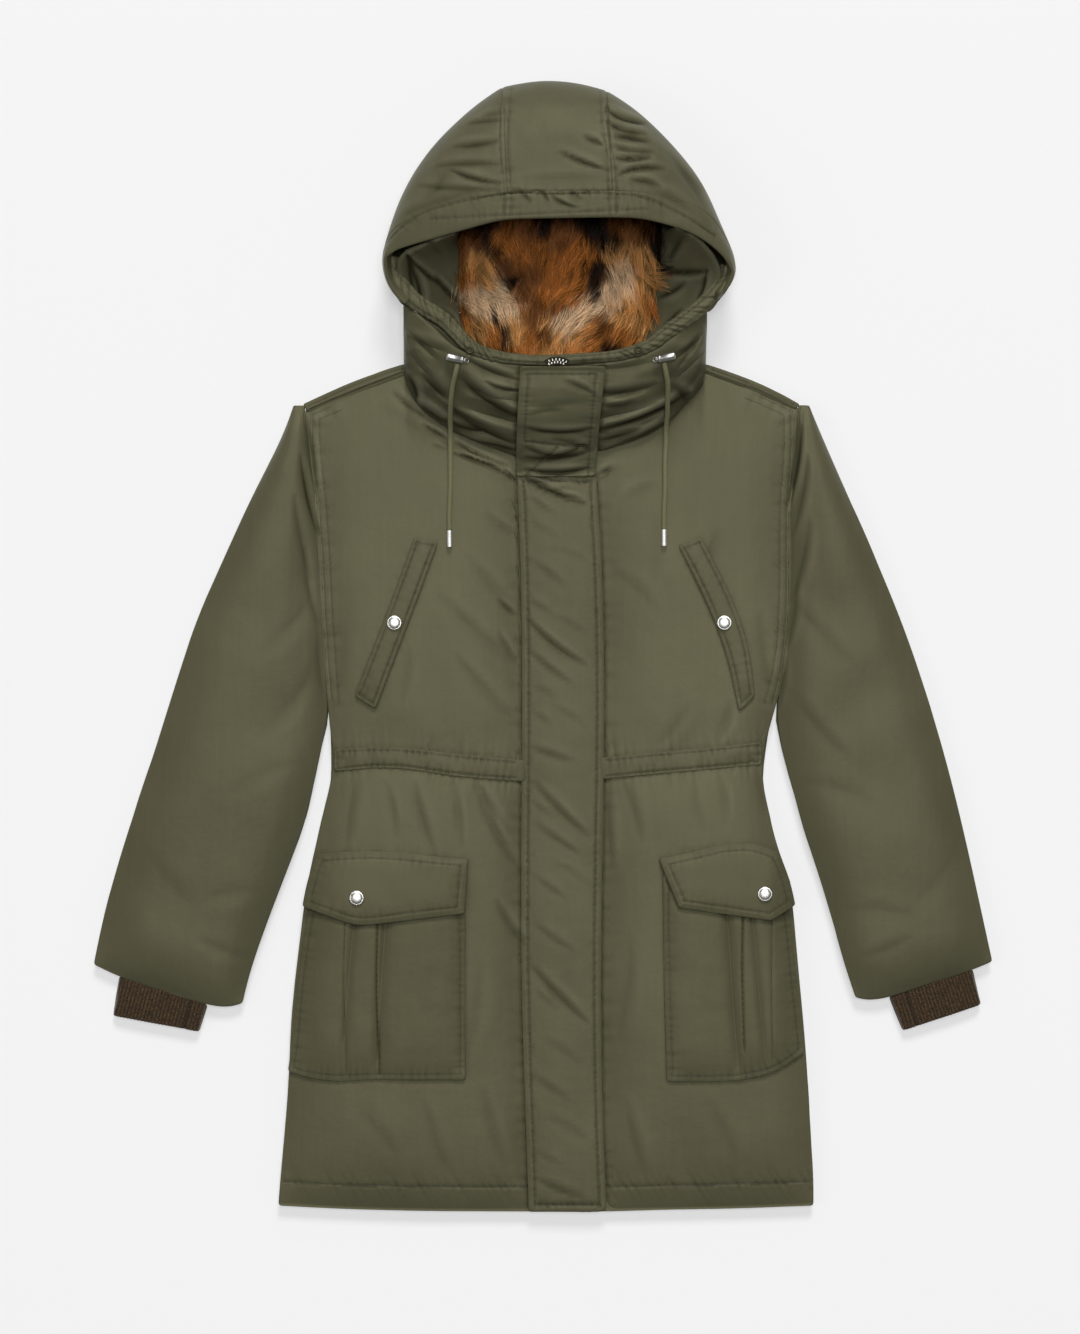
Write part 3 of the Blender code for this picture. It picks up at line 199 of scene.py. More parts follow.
def satinNylon(name, light, dark, roughness, gloss):
    # Satin-faced nylon shell, woven and calendered: a soft broad gloss over a fine weave.
    # The attribute read below is painted shade in seams and creases, and below 0 a painted highlight on
    # ridges.
    material, tree, surface = newMaterial(
        name, Roughness=roughness, Sheen_Weight=0.05, Sheen_Roughness=0.4, Specular_IOR_Level=gloss)
    surface.inputs["Specular Tint"].default_value = linear("#E6DFB8")
    surface.inputs["Sheen Tint"].default_value = linear("#C9C3A0")
    place = addNode(tree, "TexCoord").outputs["Object"]
    cloud = addNode(tree, "TexNoise", {"Scale": 1 / (nylon["cloud"] * mm), "Detail": 3.0}, {"Vector": place})
    slub = addNode(tree, "Mapping", {"Scale": (1.0, 0.08, 1.0)}, {"Vector": place})
    streak = addNode(tree, "TexNoise", {"Scale": 1 / (nylon["slub"] * mm), "Detail": 2.0},
                     {"Vector": slub.outputs["Vector"]})
    both = addNode(tree, "Math", {"operation": "MULTIPLY_ADD", 1: 0.35},
                   {0: streak.outputs["Fac"], 2: cloud.outputs["Fac"]})
    tone = addNode(tree, "ValToRGB", {}, {"Fac": both.outputs["Value"]}, ((0.35, dark), (0.95, light)))
    fold = addNode(tree, "Attribute", {"attribute_name": "fold"}).outputs["Fac"]
    paintedHighlight = addNode(tree, "Math", {"operation": "MULTIPLY", 1: -1.0, "use_clamp": True}, {0: fold})
    shaded = addNode(tree, "Mix", {"data_type": "RGBA", "blend_type": "MULTIPLY", 7: nylon["shade"]},
                     {0: fold, 6: tone.outputs["Color"]})
    withPaintedHighlight = addNode(tree, "Mix", {"data_type": "RGBA", "blend_type": "SCREEN", 7: nylon["paintedHighlight"]},
                     {0: paintedHighlight.outputs["Value"], 6: shaded.outputs[2]})
    tree.links.new(withPaintedHighlight.outputs[2], surface.inputs["Base Color"])
    waves = []
    for axis in ("X", "Y"):
        waves.append(addNode(tree, "TexWave", {
            "bands_direction": axis, "Scale": 1 / (nylon["thread"] * mm) / bandsPerUnit, "Distortion": 1.2,
            "Detail": 1.0, "Detail Scale": 0.6}, {"Vector": place}).outputs["Fac"])
    weave = addNode(tree, "Math", {"operation": "MULTIPLY"}, {0: waves[0], 1: waves[1]})
    crinkle = addNode(tree, "TexNoise", {
        "Scale": 1 / (nylon["crinkle"] * mm), "Detail": 4.0, "Roughness": 0.6}, {"Vector": place})
    fine = addNode(tree, "Bump", {"Strength": 0.35, "Distance": 0.05 * mm},
                   {"Height": weave.outputs["Value"]})
    bump = addNode(tree, "Bump", {"Strength": 0.4, "Distance": 0.8 * mm},
                   {"Height": crinkle.outputs["Fac"], "Normal": fine.outputs["Normal"]})
    tree.links.new(bump.outputs["Normal"], surface.inputs["Normal"])
    return material


def ribKnit():  # ribbed cuff knitted from two brown yarns twisted together, with painted shade between the ribs
    material, tree, surface, fleck, tone = twoTone(
        "ribKnit", 1.6, 4.0, ((0.38, "#2E2315"), (0.66, "#5A462B")),
        Roughness=0.92, Sheen_Weight=0.35, Specular_IOR_Level=0.2)
    paintedRibShade = addNode(tree, "Attribute", {"attribute_name": "fold"}).outputs["Fac"]
    ribbed = addNode(tree, "Mix", {"data_type": "RGBA", "blend_type": "MULTIPLY", 7: (0.35, 0.33, 0.3, 1.0)},
                     {0: paintedRibShade, 6: tone.outputs["Color"]})
    tree.links.new(ribbed.outputs[2], surface.inputs["Base Color"])
    bump = addNode(tree, "Bump", {"Strength": 0.6, "Distance": 0.3 * mm}, {"Height": fleck.outputs["Fac"]})
    tree.links.new(bump.outputs["Normal"], surface.inputs["Normal"])
    return material


def polishedNickel(name, colour, roughness):
    # Nickel-plated brass, tumbled: bright with faint haze and fine scuffs. The eyelets' enamel is made alike.
    material, tree, surface = newMaterial(name, Metallic=1.0, Roughness=roughness)
    surface.inputs["Base Color"].default_value = linear(colour)
    place = addNode(tree, "TexCoord").outputs["Object"]
    haze = addNode(tree, "TexNoise", {"Scale": 1 / (1.8 * mm), "Detail": 5.0}, {"Vector": place})
    rough = addNode(tree, "MapRange", {"To Min": roughness * 0.85, "To Max": roughness * 1.2},
                    {"Value": haze.outputs["Fac"]})
    tree.links.new(rough.outputs["Result"], surface.inputs["Roughness"])
    bump = addNode(tree, "Bump", {"Strength": 0.05, "Distance": 0.05 * mm}, {"Height": haze.outputs["Fac"]})
    tree.links.new(bump.outputs["Normal"], surface.inputs["Normal"])
    return material


def braidMaterial():  # braided polyester cord, pale where a strand comes up, with painted shade in between
    material, tree, surface = newMaterial(
        "braidedCord", Roughness=0.7, Sheen_Weight=0.1, Specular_IOR_Level=0.2)
    shade = addNode(tree, "Attribute", {"attribute_name": "braid"})
    tone = addNode(tree, "ValToRGB", {}, {"Fac": shade.outputs["Fac"]}, ((0, "#2C2B1D"), (1, "#7D7B58")))
    tree.links.new(tone.outputs["Color"], surface.inputs["Base Color"])
    return material


def furMaterial(name, roughness, gloss):  # long-pile fox-like fur, each hair darker at its root
    material, tree, surface = newMaterial(name, Roughness=roughness, Specular_IOR_Level=gloss)
    tint = addNode(tree, "Attribute", {"attribute_name": "furTint"})
    tree.links.new(tint.outputs["Color"], surface.inputs["Base Color"])
    return material


floorAcrylic = acrylicFloor()
# One satin nylon throughout: the darker copies for the trims, sleeves, pockets and collar are painted shade,
# the collar darkest.
shellCloth = satinNylon("satinNylonShell", "#5D5B45", "#53513D", roughness=0.48, gloss=0.32)
trimNylonPaintedShade = satinNylon("satinNylonTrimPaintedShade", "#56543F", "#4C4A37", roughness=0.48, gloss=0.3)
sleeveNylonPaintedShade = satinNylon("satinNylonSleevePaintedShade", "#575540", "#4D4B38", roughness=0.48, gloss=0.32)
collarNylonPaintedShade = satinNylon("satinNylonCollarPaintedShade", "#4D4B37", "#444230", roughness=0.46, gloss=0.34)
pocketNylonPaintedShade = satinNylon("satinNylonPocketPaintedShade", "#54523D", "#4A4835", roughness=0.48, gloss=0.3)
liningCloth = satinNylon("satinLining", "#595843", "#4E4D3A", roughness=0.45, gloss=0.28)
knit = ribKnit()
nickel = polishedNickel("polishedNickel", "#BDBCB6", 0.35)
dullNickel = polishedNickel("brushedNickel", "#96958F", 0.4)
tipNickel = polishedNickel("tumbledNickel", "#F1F0EC", 0.45)
oliveEnamel = polishedNickel("oliveEnamelledBrass", "#4A4836", 0.5)
thread = twoTone(   # polyester sewing thread, tonal, drawn darker with the painted shade of the groove it lies in
    "sewingThreadPaintedShade", 1.1, 2.0, ((0, "#322F1E"), (1, "#48452F")), Roughness=0.55, Sheen_Weight=0.2)[0]
tapeAndShadowNylon = twoTone(   # dull dark nylon for the zip's tape, and for painted shadow where two layers of cloth meet
    "zipTapeAndPaintedShadow", 6.0, 2.0, ((0, "#1D1B12"), (1, "#3A3725")), Roughness=0.9, Specular_IOR_Level=0.1)[0]
braid = braidMaterial()
furFibre = furMaterial("fur", 0.4, 0.22)
underFur = furMaterial("underFur", 1.0, 0.0)


# meshes

def newPiece(name, data):
    thing = bpy.data.objects.new(name, data)
    collection.objects.link(thing)
    return thing


def toObject(mesh, name, *materials):
    data = bpy.data.meshes.new(name)
    mesh.to_mesh(data)
    mesh.free()
    for material in materials:
        data.materials.append(material)
    return newPiece(name, data)


def finish(thing, node=None):
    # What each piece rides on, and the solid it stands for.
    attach(thing, "root")
    if node:
        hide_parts(node)


def weldedCopy(node):
    mesh = bmesh.new()
    mesh.from_mesh(nodes[node].data)
    bmesh.ops.remove_doubles(mesh, verts=mesh.verts, dist=0.02 * mm)
    bmesh.ops.join_triangles(mesh, faces=mesh.faces, angle_face_threshold=0.9, angle_shape_threshold=1.2)
    return mesh


def readPoints(thing):
    points = np.empty(len(thing.data.vertices) * 3, np.float32)
    thing.data.vertices.foreach_get("co", points)
    return points.reshape(-1, 3).astype(float) / mm


def readNormals(thing):
    normals = np.empty(len(thing.data.vertices) * 3, np.float32)
    thing.data.vertices.foreach_get("normal", normals)
    return normals.reshape(-1, 3).astype(float)


def writePoints(thing, points):
    thing.data.vertices.foreach_set("co", (points * mm).astype(np.float32).ravel())
    thing.data.update()


def writeShade(data, name, values):
    data.attributes.new(name, "FLOAT", "POINT").data.foreach_set("value", values.astype(np.float32))


def evaluated(thing):
    bpy.context.view_layer.update()
    return bpy.data.meshes.new_from_object(thing.evaluated_get(bpy.context.evaluated_depsgraph_get()))


def applyModifiers(thing):
    data = evaluated(thing)
    thing.modifiers.clear()
    thing.data = data
    return data


def fade(value, start, span):
    # 0 up to the start, 1 from the end of the span.
    return np.clip((value - start) / span, 0, 1)


def surfaceOf(thing):
    corners = [vert.co for vert in thing.data.vertices]
    return BVHTree.FromPolygons(corners, [face.vertices for face in thing.data.polygons])


def dropOn(tree, x, y):
    # The place and the normal of a surface straight below a point, in metres, or two Nones.
    return tree.ray_cast(Vector((x, y, 400)) * mm, down)[:2]


def longEdges(mesh, size):
    # The edges that are to be halved for a mesh of about this edge length.
    limit = (size * 1.4 * mm) ** 2
    return [edge for edge in mesh.edges if (edge.verts[0].co - edge.verts[1].co).length_squared > limit]


def sharpEdges(mesh, angle):
    return [edge for edge in mesh.edges if edge.is_manifold and edge.calc_face_angle() > angle]


shell = {
    "sharp": math.radians(38), "soft": math.radians(30), "straight": -0.75, "grow": 1.3,
    "upper": 0.45, "level": 0.8,   # how far up the faces on the two sides of the upper rim look
}


def smoothShell(node, levels=3, rounding=3, flat=False, name=None):
    # The solid's own form with its facets subdivided away: edges stay where they are, then get a soft round.
    mesh = weldedCopy(node)
    crease = mesh.edges.layers.float.new("crease_edge")
    corner = mesh.verts.layers.float.new("crease_vert")
    for edge in sharpEdges(mesh, shell["sharp"]):
        edge[crease] = 1.0
    for vert in mesh.verts:
        sharp = [edge for edge in vert.link_edges if edge[crease] > 0]
        ways = [(edge.other_vert(vert).co - vert.co).normalized() for edge in sharp]
        runsOn = any(ways[i].dot(ways[j]) < shell["straight"] for i in range(len(ways)) for j in range(i))
        if len(sharp) >= 2 and not runsOn:
            vert[corner] = 1.0
    thing = toObject(mesh, name or "cloth_" + node)
    subdivide = thing.modifiers.new("subdivide", "SUBSURF")
    subdivide.levels = subdivide.render_levels = levels
    subdivide.use_creases = True
    if flat:
        subdivide.subdivision_type = "SIMPLE"
    data = applyModifiers(thing)
    mesh = bmesh.new()
    mesh.from_mesh(data)
    rim = topRim(mesh)
    soft = set()
    for edge in sharpEdges(mesh, shell["soft"]):
        for vert in edge.verts:
            soft.add(vert)
            soft.update(other.other_vert(vert) for other in vert.link_edges)
    soft = list(soft)
    for _ in range(rounding):
        bmesh.ops.smooth_vert(mesh, verts=soft, factor=0.5, use_axis_x=True, use_axis_y=True, use_axis_z=True)
    mesh.to_mesh(data)
    mesh.free()
    data.shade_smooth()
    points, normals = readPoints(thing), readNormals(thing)
    level = np.sqrt(np.clip(1 - normals[:, 2:] ** 2, 0, 1))
    points[:, :2] += normals[:, :2] * shell["grow"] * fade(level, 0.3, 0.5)   # for what rounding took
    writePoints(thing, points)
    return thing, rim


def topRim(mesh):
    # The outline of a piece's upper face, as one closed run of points in order, in millimetres.
    links = {}
    for edge in sharpEdges(mesh, shell["sharp"]):
        normals = sorted(face.normal.z for face in edge.link_faces)
        if normals[1] > shell["upper"] and -shell["upper"] < normals[0] < shell["level"]:
            first, second = edge.verts
            links.setdefault(first, []).append(second)
            links.setdefault(second, []).append(first)
    best = []
    seen = set()
    for vert in links:
        if vert in seen:
            continue
        run = [vert]
        seen.add(vert)
        while True:
            ahead = [other for other in links[run[-1]] if other not in seen]
            if not ahead:
                break
            run.append(ahead[0])
            seen.add(ahead[0])
        if len(run) > len(best):
            best = run
    return np.array([vert.co[:] for vert in best]) / mm


def resample(line, step, closed=False):
    # The same line with its points evenly apart.
    line = np.asarray(line, float)
    if closed:
        line = np.vstack([line, line[:1]])
    run = np.concatenate([[0], np.cumsum(np.linalg.norm(np.diff(line, axis=0), axis=1))])
    count = max(2, int(round(run[-1] / step)) + 1)
    at = np.linspace(0, run[-1], count)
    return np.column_stack([np.interp(at, run, line[:, k]) for k in range(line.shape[1])])


lineStep = 1.5   # between the points of a seam's line


def inset(rim, distance):
    # The outline moved inwards, and which of its points are clear of the loops that corners leave.
    ring = resample(rim[:, :2], lineStep, closed=True)[:-1]
    ahead = np.roll(ring, -2, axis=0) - np.roll(ring, 2, axis=0)
    ahead /= np.linalg.norm(ahead, axis=1, keepdims=True) + 1e-9
    area = (ring[:, 0] * np.roll(ring[:, 1], -1) - ring[:, 1] * np.roll(ring[:, 0], -1)).sum()
    inward = np.column_stack([-ahead[:, 1], ahead[:, 0]]) * np.sign(area)
    moved = ring + inward * distance
    gap = np.linalg.norm(moved[:, None] - ring[None], axis=2).min(axis=1)
    return moved, gap > distance * 0.93


def seamRuns(rim, distance, where=None):
    # The runs of an inset outline that pass a test of their place.
    moved, clear = inset(rim, distance)
    keep = clear if where is None else clear & np.array([where(x, y) for x, y in moved])
    if keep.all():
        return [np.vstack([moved, moved[:1]])]
    start = int(np.argmin(keep))
    moved, keep = np.roll(moved, -start, axis=0), np.roll(keep, -start)
    runs, run = [], []
    for point, good in zip(moved, keep):
        if good and (not run or np.linalg.norm(point - run[-1]) < 6):
            run.append(point)
        elif run:
            runs.append(np.array(run))
            run = [point] if good else []
    if run:
        runs.append(np.array(run))
    return [r for r in runs if len(r) > 6]


def smoothLine(knots, step=lineStep):
    # A smooth curve through a few points.
    knots = np.array(knots, float)
    slopes = np.gradient(knots, axis=0)
    line = []
    for i in range(len(knots) - 1):
        for t in np.linspace(0, 1, 20, endpoint=False):
            line.append((2 * t**3 - 3 * t**2 + 1) * knots[i] + (t**3 - 2 * t**2 + t) * slopes[i]
                        + (3 * t**2 - 2 * t**3) * knots[i + 1] + (t**3 - t**2) * slopes[i + 1])
    return resample(np.array(line + [knots[-1]]), step)


def rimOf(node):
    mesh = weldedCopy(node)
    rim = topRim(mesh)
    mesh.free()
    return rim


def nearTo(line, reach, also=lambda x, y: True):
    # A test for seamRuns: within reach of a line.
    return lambda x, y: ((line[:, 0] - x) ** 2 + (line[:, 1] - y) ** 2).min() < reach ** 2 and also(x, y)


def farFrom(line, reach):
    near = nearTo(line, reach)
    return lambda x, y: not near(x, y)


def ripple(places, every, seed):
    # An uneven run of troughs along a seam: 0 to 1, with flat rests between them.
    rand = random.Random(seed)
    count = int(places.max() / every) + 4
    heights = np.array([rand.random() ** 0.7 for _ in range(count)])
    shift = np.array([rand.uniform(-0.3, 0.3) for _ in range(count)])
    centres = (np.arange(count) + shift) * every
    value = np.zeros_like(places)
    for centre, height in zip(centres, heights):
        value += height * np.exp(-((places - centre) / (every * 0.24)) ** 2)
    return value


def nearbyChunks(points, line, reach):
    # The points in the box round a line, a part at a time.
    low, high = line.min(axis=0) - reach, line.max(axis=0) + reach
    near = np.where(((points[:, :2] > low) & (points[:, :2] < high)).all(axis=1))[0]
    return [chunk for chunk in np.array_split(near, len(near) // 1500 + 1) if len(chunk)]


def seamRelief(points, seams):
    # How far each point sinks or rises at the seams, and how much painted shade it gets: a groove, and
    # puckers beside it, painted darker in their troughs and a little lighter on their crests.
    depth, shade = np.zeros(len(points)), np.zeros(len(points))
    for seam in seams:
        line = seam["line"]
        ahead = np.gradient(line, axis=0)
        ahead /= np.linalg.norm(ahead, axis=1, keepdims=True) + 1e-9
        run = np.concatenate([[0], np.cumsum(np.linalg.norm(np.diff(line, axis=0), axis=1))])
        reach = seam.get("reach", 12.0)
        for chunk in nearbyChunks(points, line, 2.6 * reach):
            offset = points[chunk, None, :2] - line[None]
            gap2 = (offset ** 2).sum(axis=2)
            nearest = gap2.argmin(axis=1)
            away = np.sqrt(gap2[np.arange(len(chunk)), nearest])
            off = offset[np.arange(len(chunk)), nearest]
            tangent = ahead[nearest]
            side = np.sign(tangent[:, 0] * off[:, 1] - tangent[:, 1] * off[:, 0])
            along = run[nearest] + (off * tangent).sum(axis=1)
            groove = np.exp(-(away / seam["width"]) ** 2)
            depth[chunk] -= seam["depth"] * groove
            shade[chunk] += seam["shade"] * groove
            if "pucker" in seam:
                leaning = along + seam.get("lean", 0.0) * away * side
                fall = np.exp(-(away / reach) ** 1.5)
                wave = ripple(np.maximum(leaning, 0) + 5, seam["every"], seam["seed"]) - 0.35   # its mean
                depth[chunk] -= seam["pucker"] * fall * wave
                shade[chunk] += 0.35 * fall * wave
    return depth, shade


creasing = {"legs": 12, "shade": 0.6}   # legs of the bent line, and how dark the painted shade in a trough is


def creaseLine(row):
    # The bent middle line of a crease, from its two ends and its bend.
    start, end = np.array(row[:2], float), np.array(row[2:4], float)
    way = end - start
    middle = (start + end) / 2 + np.array([-way[1], way[0]]) / np.linalg.norm(way) * row[4]
    t = np.linspace(0, 1, creasing["legs"] + 1)[:, None]
    return (1 - t) ** 2 * start + 2 * t * (1 - t) * middle + t ** 2 * end


def creaseRelief(points, rows):
    # Soft troughs with a ridge beside them, with painted shade in the trough and a painted highlight on the
    # ridge. A row is x1, y1, x2, y2, bend, depth, width.
    depth, shade = np.zeros(len(points)), np.zeros(len(points))
    for row in rows:
        line = creaseLine(row)
        deep, wide = row[5], row[6]
        reach = abs(wide) * 4
        low, high = line.min(axis=0) - reach, line.max(axis=0) + reach
        near = np.where(((points[:, :2] > low) & (points[:, :2] < high)).all(axis=1))[0]
        if not len(near):
            continue
        place = points[near, :2]
        best = np.full(len(near), 1e9)
        signed, part = np.zeros(len(near)), np.zeros(len(near))
        for i in range(creasing["legs"]):
            leg = line[i + 1] - line[i]
            share = np.clip(((place - line[i]) @ leg) / (leg @ leg), 0, 1)
            off = place - line[i] - share[:, None] * leg
            gap = np.linalg.norm(off, axis=1)
            closer = gap < best
            best[closer] = gap[closer]
            turn = leg[0] * off[:, 1] - leg[1] * off[:, 0]
            signed[closer] = (gap * np.sign(turn))[closer]
            part[closer] = ((i + share) / creasing["legs"])[closer]
        taper = np.sin(math.pi * np.clip(part * 0.86 + 0.07, 0, 1)) ** 0.8
        narrow = abs(wide) * (0.55 + 0.45 * taper)
        s = signed / narrow * np.sign(wide)
        trough = np.exp(-1.3 * np.abs(s) ** 1.3)
        ridge = np.exp(-((s - 1.5) / 1.0) ** 2)
        depth[near] += deep * taper * (0.6 * ridge - trough)
        dark = min(1.0, creasing["shade"] * deep / abs(wide) ** 0.5)
        core = np.exp(-(signed / 1.3) ** 2) * min(1.0, deep / 3)
        shade[near] += dark * taper * (np.exp(-(s / 0.8) ** 2) + 0.6 * core - 0.5 * ridge)
    return depth, shade


def undulation(points, size, height, seed):
    # Slow unevenness of padded cloth, a sum of waves in all directions.
    rand = random.Random(seed)
    total = np.zeros(len(points))
    waves = 14
    for _ in range(waves):
        angle = rand.uniform(0, 2 * math.pi)
        length = size * rand.uniform(0.6, 1.9)
        wave = points[:, 0] * math.cos(angle) + points[:, 1] * math.sin(angle)
        total += np.sin(wave * 2 * math.pi / length + rand.uniform(0, 6.3))
    return total / waves * height * 1.6


refining = {"cell": 2.0, "margin": 12, "medium": (3.0, 8.0), "fine": (1.5, 3.0)}   # edge length and reach


def widened(marks, steps):
    # A raster's marks, spread to a disc of some cells round each.
    wide = np.zeros_like(marks)
    for i in range(-steps, steps + 1):
        for j in range(-steps, steps + 1):
            if i * i + j * j <= steps * steps:
                wide |= np.roll(marks, (i, j), (0, 1))
    return wide


def refine(thing, fine, medium):
    # Splits long edges of the upper side near the seams and the creases, so that the mesh can carry them.
    cell, margin = refining["cell"], refining["margin"]
    points = readPoints(thing)
    low = points[:, :2].min(axis=0) - margin
    shape = np.ceil((points[:, :2].max(axis=0) + margin - low) / cell).astype(int) + 1
    mesh = bmesh.new()
    mesh.from_mesh(thing.data)
    for lines, (size, reach) in ((medium, refining["medium"]), (fine, refining["fine"])):
        marks = np.zeros(shape, bool)
        for line in lines:
            at = ((resample(line, cell) - low) / cell).round().astype(int)
            at = at[((at >= 0) & (at < shape)).all(axis=1)]
            marks[at[:, 0], at[:, 1]] = True
        wide = widened(marks, int(reach / cell))
        for _ in range(3):
            inside = set()
            for vert in mesh.verts:
                i = int((vert.co.x / mm - low[0]) / cell + 0.5)
                j = int((vert.co.y / mm - low[1]) / cell + 0.5)
                if vert.normal.z > 0.1 and wide[min(i, shape[0] - 1), min(j, shape[1] - 1)]:
                    inside.add(vert.index)
            edges = [edge for edge in longEdges(mesh, size) if all(v.index in inside for v in edge.verts)]
            if not edges:
                break
            bmesh.ops.subdivide_edges(mesh, edges=edges, cuts=1, use_grid_fill=True)
            mesh.verts.index_update()
            mesh.normal_update()
    mesh.to_mesh(thing.data)
    mesh.free()
    thing.data.shade_smooth()


def relieve(thing, seams, creases, swellings, calm=(), paintedShadeDown=None):
    # Works the seams, the creases and the padding's unevenness into the upper side of a piece, and paints
    # their shade into its colour.
    # Swellings are size, height and seed; calm places are x, y and radius; the painted shade towards a lower
    # end is start, end and amount.
    points = readPoints(thing)
    low, high = points[:, :2].min(axis=0) - 15, points[:, :2].max(axis=0) + 15
    bent = [(row, creaseLine(row)) for row in creases]
    bent = [(row, line) for row, line in bent
            if (line.max(axis=0) > low).all() and (line.min(axis=0) < high).all()]
    narrow = [seam["line"] for seam in seams if seam["width"] < 1.5]
    puckered = [seam["line"] for seam in seams if "pucker" in seam]
    refine(thing, fine=narrow + [line for row, line in bent if row[5] > 1.5],
           medium=puckered + [line for _, line in bent])
    points, normals = readPoints(thing), readNormals(thing)
    lift, shade = seamRelief(points, seams)
    creaseLift, creaseDark = creaseRelief(points, [row for row, _ in bent])
    lift += creaseLift
    shade += creaseDark
    if paintedShadeDown is not None:   # painted shade, darker towards a lower end
        start, end, amount = paintedShadeDown
        shade += amount * fade(start - points[:, 1], 0, start - end)
    for size, height, seed in swellings:
        lift += undulation(points, size, height, seed)
    for x, y, radius in calm:
        quiet = 1 - np.exp(-((points[:, 0] - x) ** 2 + (points[:, 1] - y) ** 2) / radius ** 2)
        lift *= quiet
        shade *= quiet
    facing = fade(normals[:, 2], 0.05, 0.45)
    points += normals * (lift * facing)[:, None]
    points[:, 2] = np.maximum(points[:, 2], 0.0)
    writePoints(thing, points)
    # painted shade of seams, creases and the lower end, and below 0 painted highlight on ridges
    writeShade(thing.data, "fold", np.clip(shade, -1, 1) * facing)


stitch = {"length": 2.7, "gap": 0.6, "width": 0.6, "height": 0.4, "proud": 0.1, "top": (0.72, 0.6)}
steep = {"normal": 0.15, "step": 4.0}   # where stitches and painted shadow tubes stop: a wall, or a step in height
stitchRows = {}


def layStitches(thing, lines):
    # Rows of lockstitch on a finished piece, each stitch one short bar, joined in one mesh.
    tree = surfaceOf(thing)
    for line in lines:
        places = []
        for x, y in resample(line, stitch["length"] + stitch["gap"]):
            hit, normal = dropOn(tree, x, y)
            places.append((hit, normal) if hit is not None and normal.z > steep["normal"] else None)
        for first, second in zip(places, places[1:]):
            if first is None or second is None or abs(first[0].z - second[0].z) > steep["step"] * mm:
                continue
            along = (second[0] - first[0]).normalized()
            up = ((first[1] + second[1]) / 2).normalized()
            across = up.cross(along).normalized()
            up = along.cross(across)
            turn = Matrix((along, across, up)).transposed().to_4x4()
            turn.translation = (first[0] + second[0]) / 2 + up * stitch["proud"] * mm
            stitchRows.setdefault(thing.name, []).append(turn)


shadowTube = {"radius": 0.5, "step": 3.0, "sink": 0.25}
shadowTubeRuns = {}


def layShadowTubes(thing, lines):
    # Painted shadow: thin dark tubes along the lines where one layer of cloth is pinched against another.
    tree = surfaceOf(thing)
    for line in lines:
        runs = [[]]
        for x, y in resample(line, shadowTube["step"]):
            hit, normal = dropOn(tree, x, y)
            run = runs[-1]
            off = hit is None or normal.z < steep["normal"]
            if off or (run and abs(hit.z - run[-1].z) > steep["step"] * mm):
                runs.append([])
            else:
                run.append(hit - Vector((0, 0, shadowTube["sink"] * mm)))
        shadowTubeRuns.setdefault(thing.name, []).extend(run for run in runs if len(run) > 2)


def tubeMesh(name, runs, radius, resolution, uneven=False):
    # Round tubes along runs of points in metres, as one mesh. An uneven one swells, thins and ends fine.
    curve = bpy.data.curves.new(name, "CURVE")
    curve.dimensions = "3D"
    curve.bevel_depth = radius * mm
    curve.bevel_resolution = resolution
    curve.use_fill_caps = True
    for run in runs:
        spline = curve.splines.new("POLY")
        spline.points.add(len(run) - 1)
        for point, place in zip(spline.points, run):
            point.co = (*place, 1.0)
            if uneven:
                point.radius = 0.7 + 0.5 * noise.noise(place / (14 * mm))
        if uneven:
            spline.points[0].radius = spline.points[-1].radius = 0.2
    tube = newPiece("tube", curve)
    data = evaluated(tube)
    bpy.data.objects.remove(tube)
    return data


def makeShadowTubes():
    for name, runs in shadowTubeRuns.items():
        data = tubeMesh("shadowTube", runs, shadowTube["radius"], 0, uneven=True)
        data.materials.clear()
        data.materials.append(tapeAndShadowNylon)
        finish(newPiece("paintedShadow_" + name, data))


def joinedCopies(template, matrices, name, material):
    # One mesh of many small copies of a template mesh.
    template.verts.index_update()
    base = np.array([v.co[:] + (1.0,) for v in template.verts])
    faces = [[v.index for v in f.verts] for f in template.faces]
    turned = np.concatenate([base @ np.array(matrix).T for matrix in matrices])[:, :3]
    polygons = [[i + n * len(base) for i in face] for n in range(len(matrices)) for face in faces]
    data = bpy.data.meshes.new(name)
    data.from_pydata(turned.tolist(), [], polygons)
    data.materials.append(material)
    return newPiece(name, data)


def sewStitches():
    bar = bmesh.new()
    bmesh.ops.create_cube(bar, size=1.0)
    size = Vector((stitch["length"], stitch["width"], stitch["height"])) * mm
    bmesh.ops.scale(bar, vec=size, verts=bar.verts)
    for vert in bar.verts:
        if vert.co.z > 0:
            vert.co.x *= stitch["top"][0]
            vert.co.y *= stitch["top"][1]
    for name, matrices in stitchRows.items():
        finish(joinedCopies(bar, matrices, "stitching_" + name, thread))
    bar.free()


# the main creases: x1, y1, x2, y2, bend, depth, width

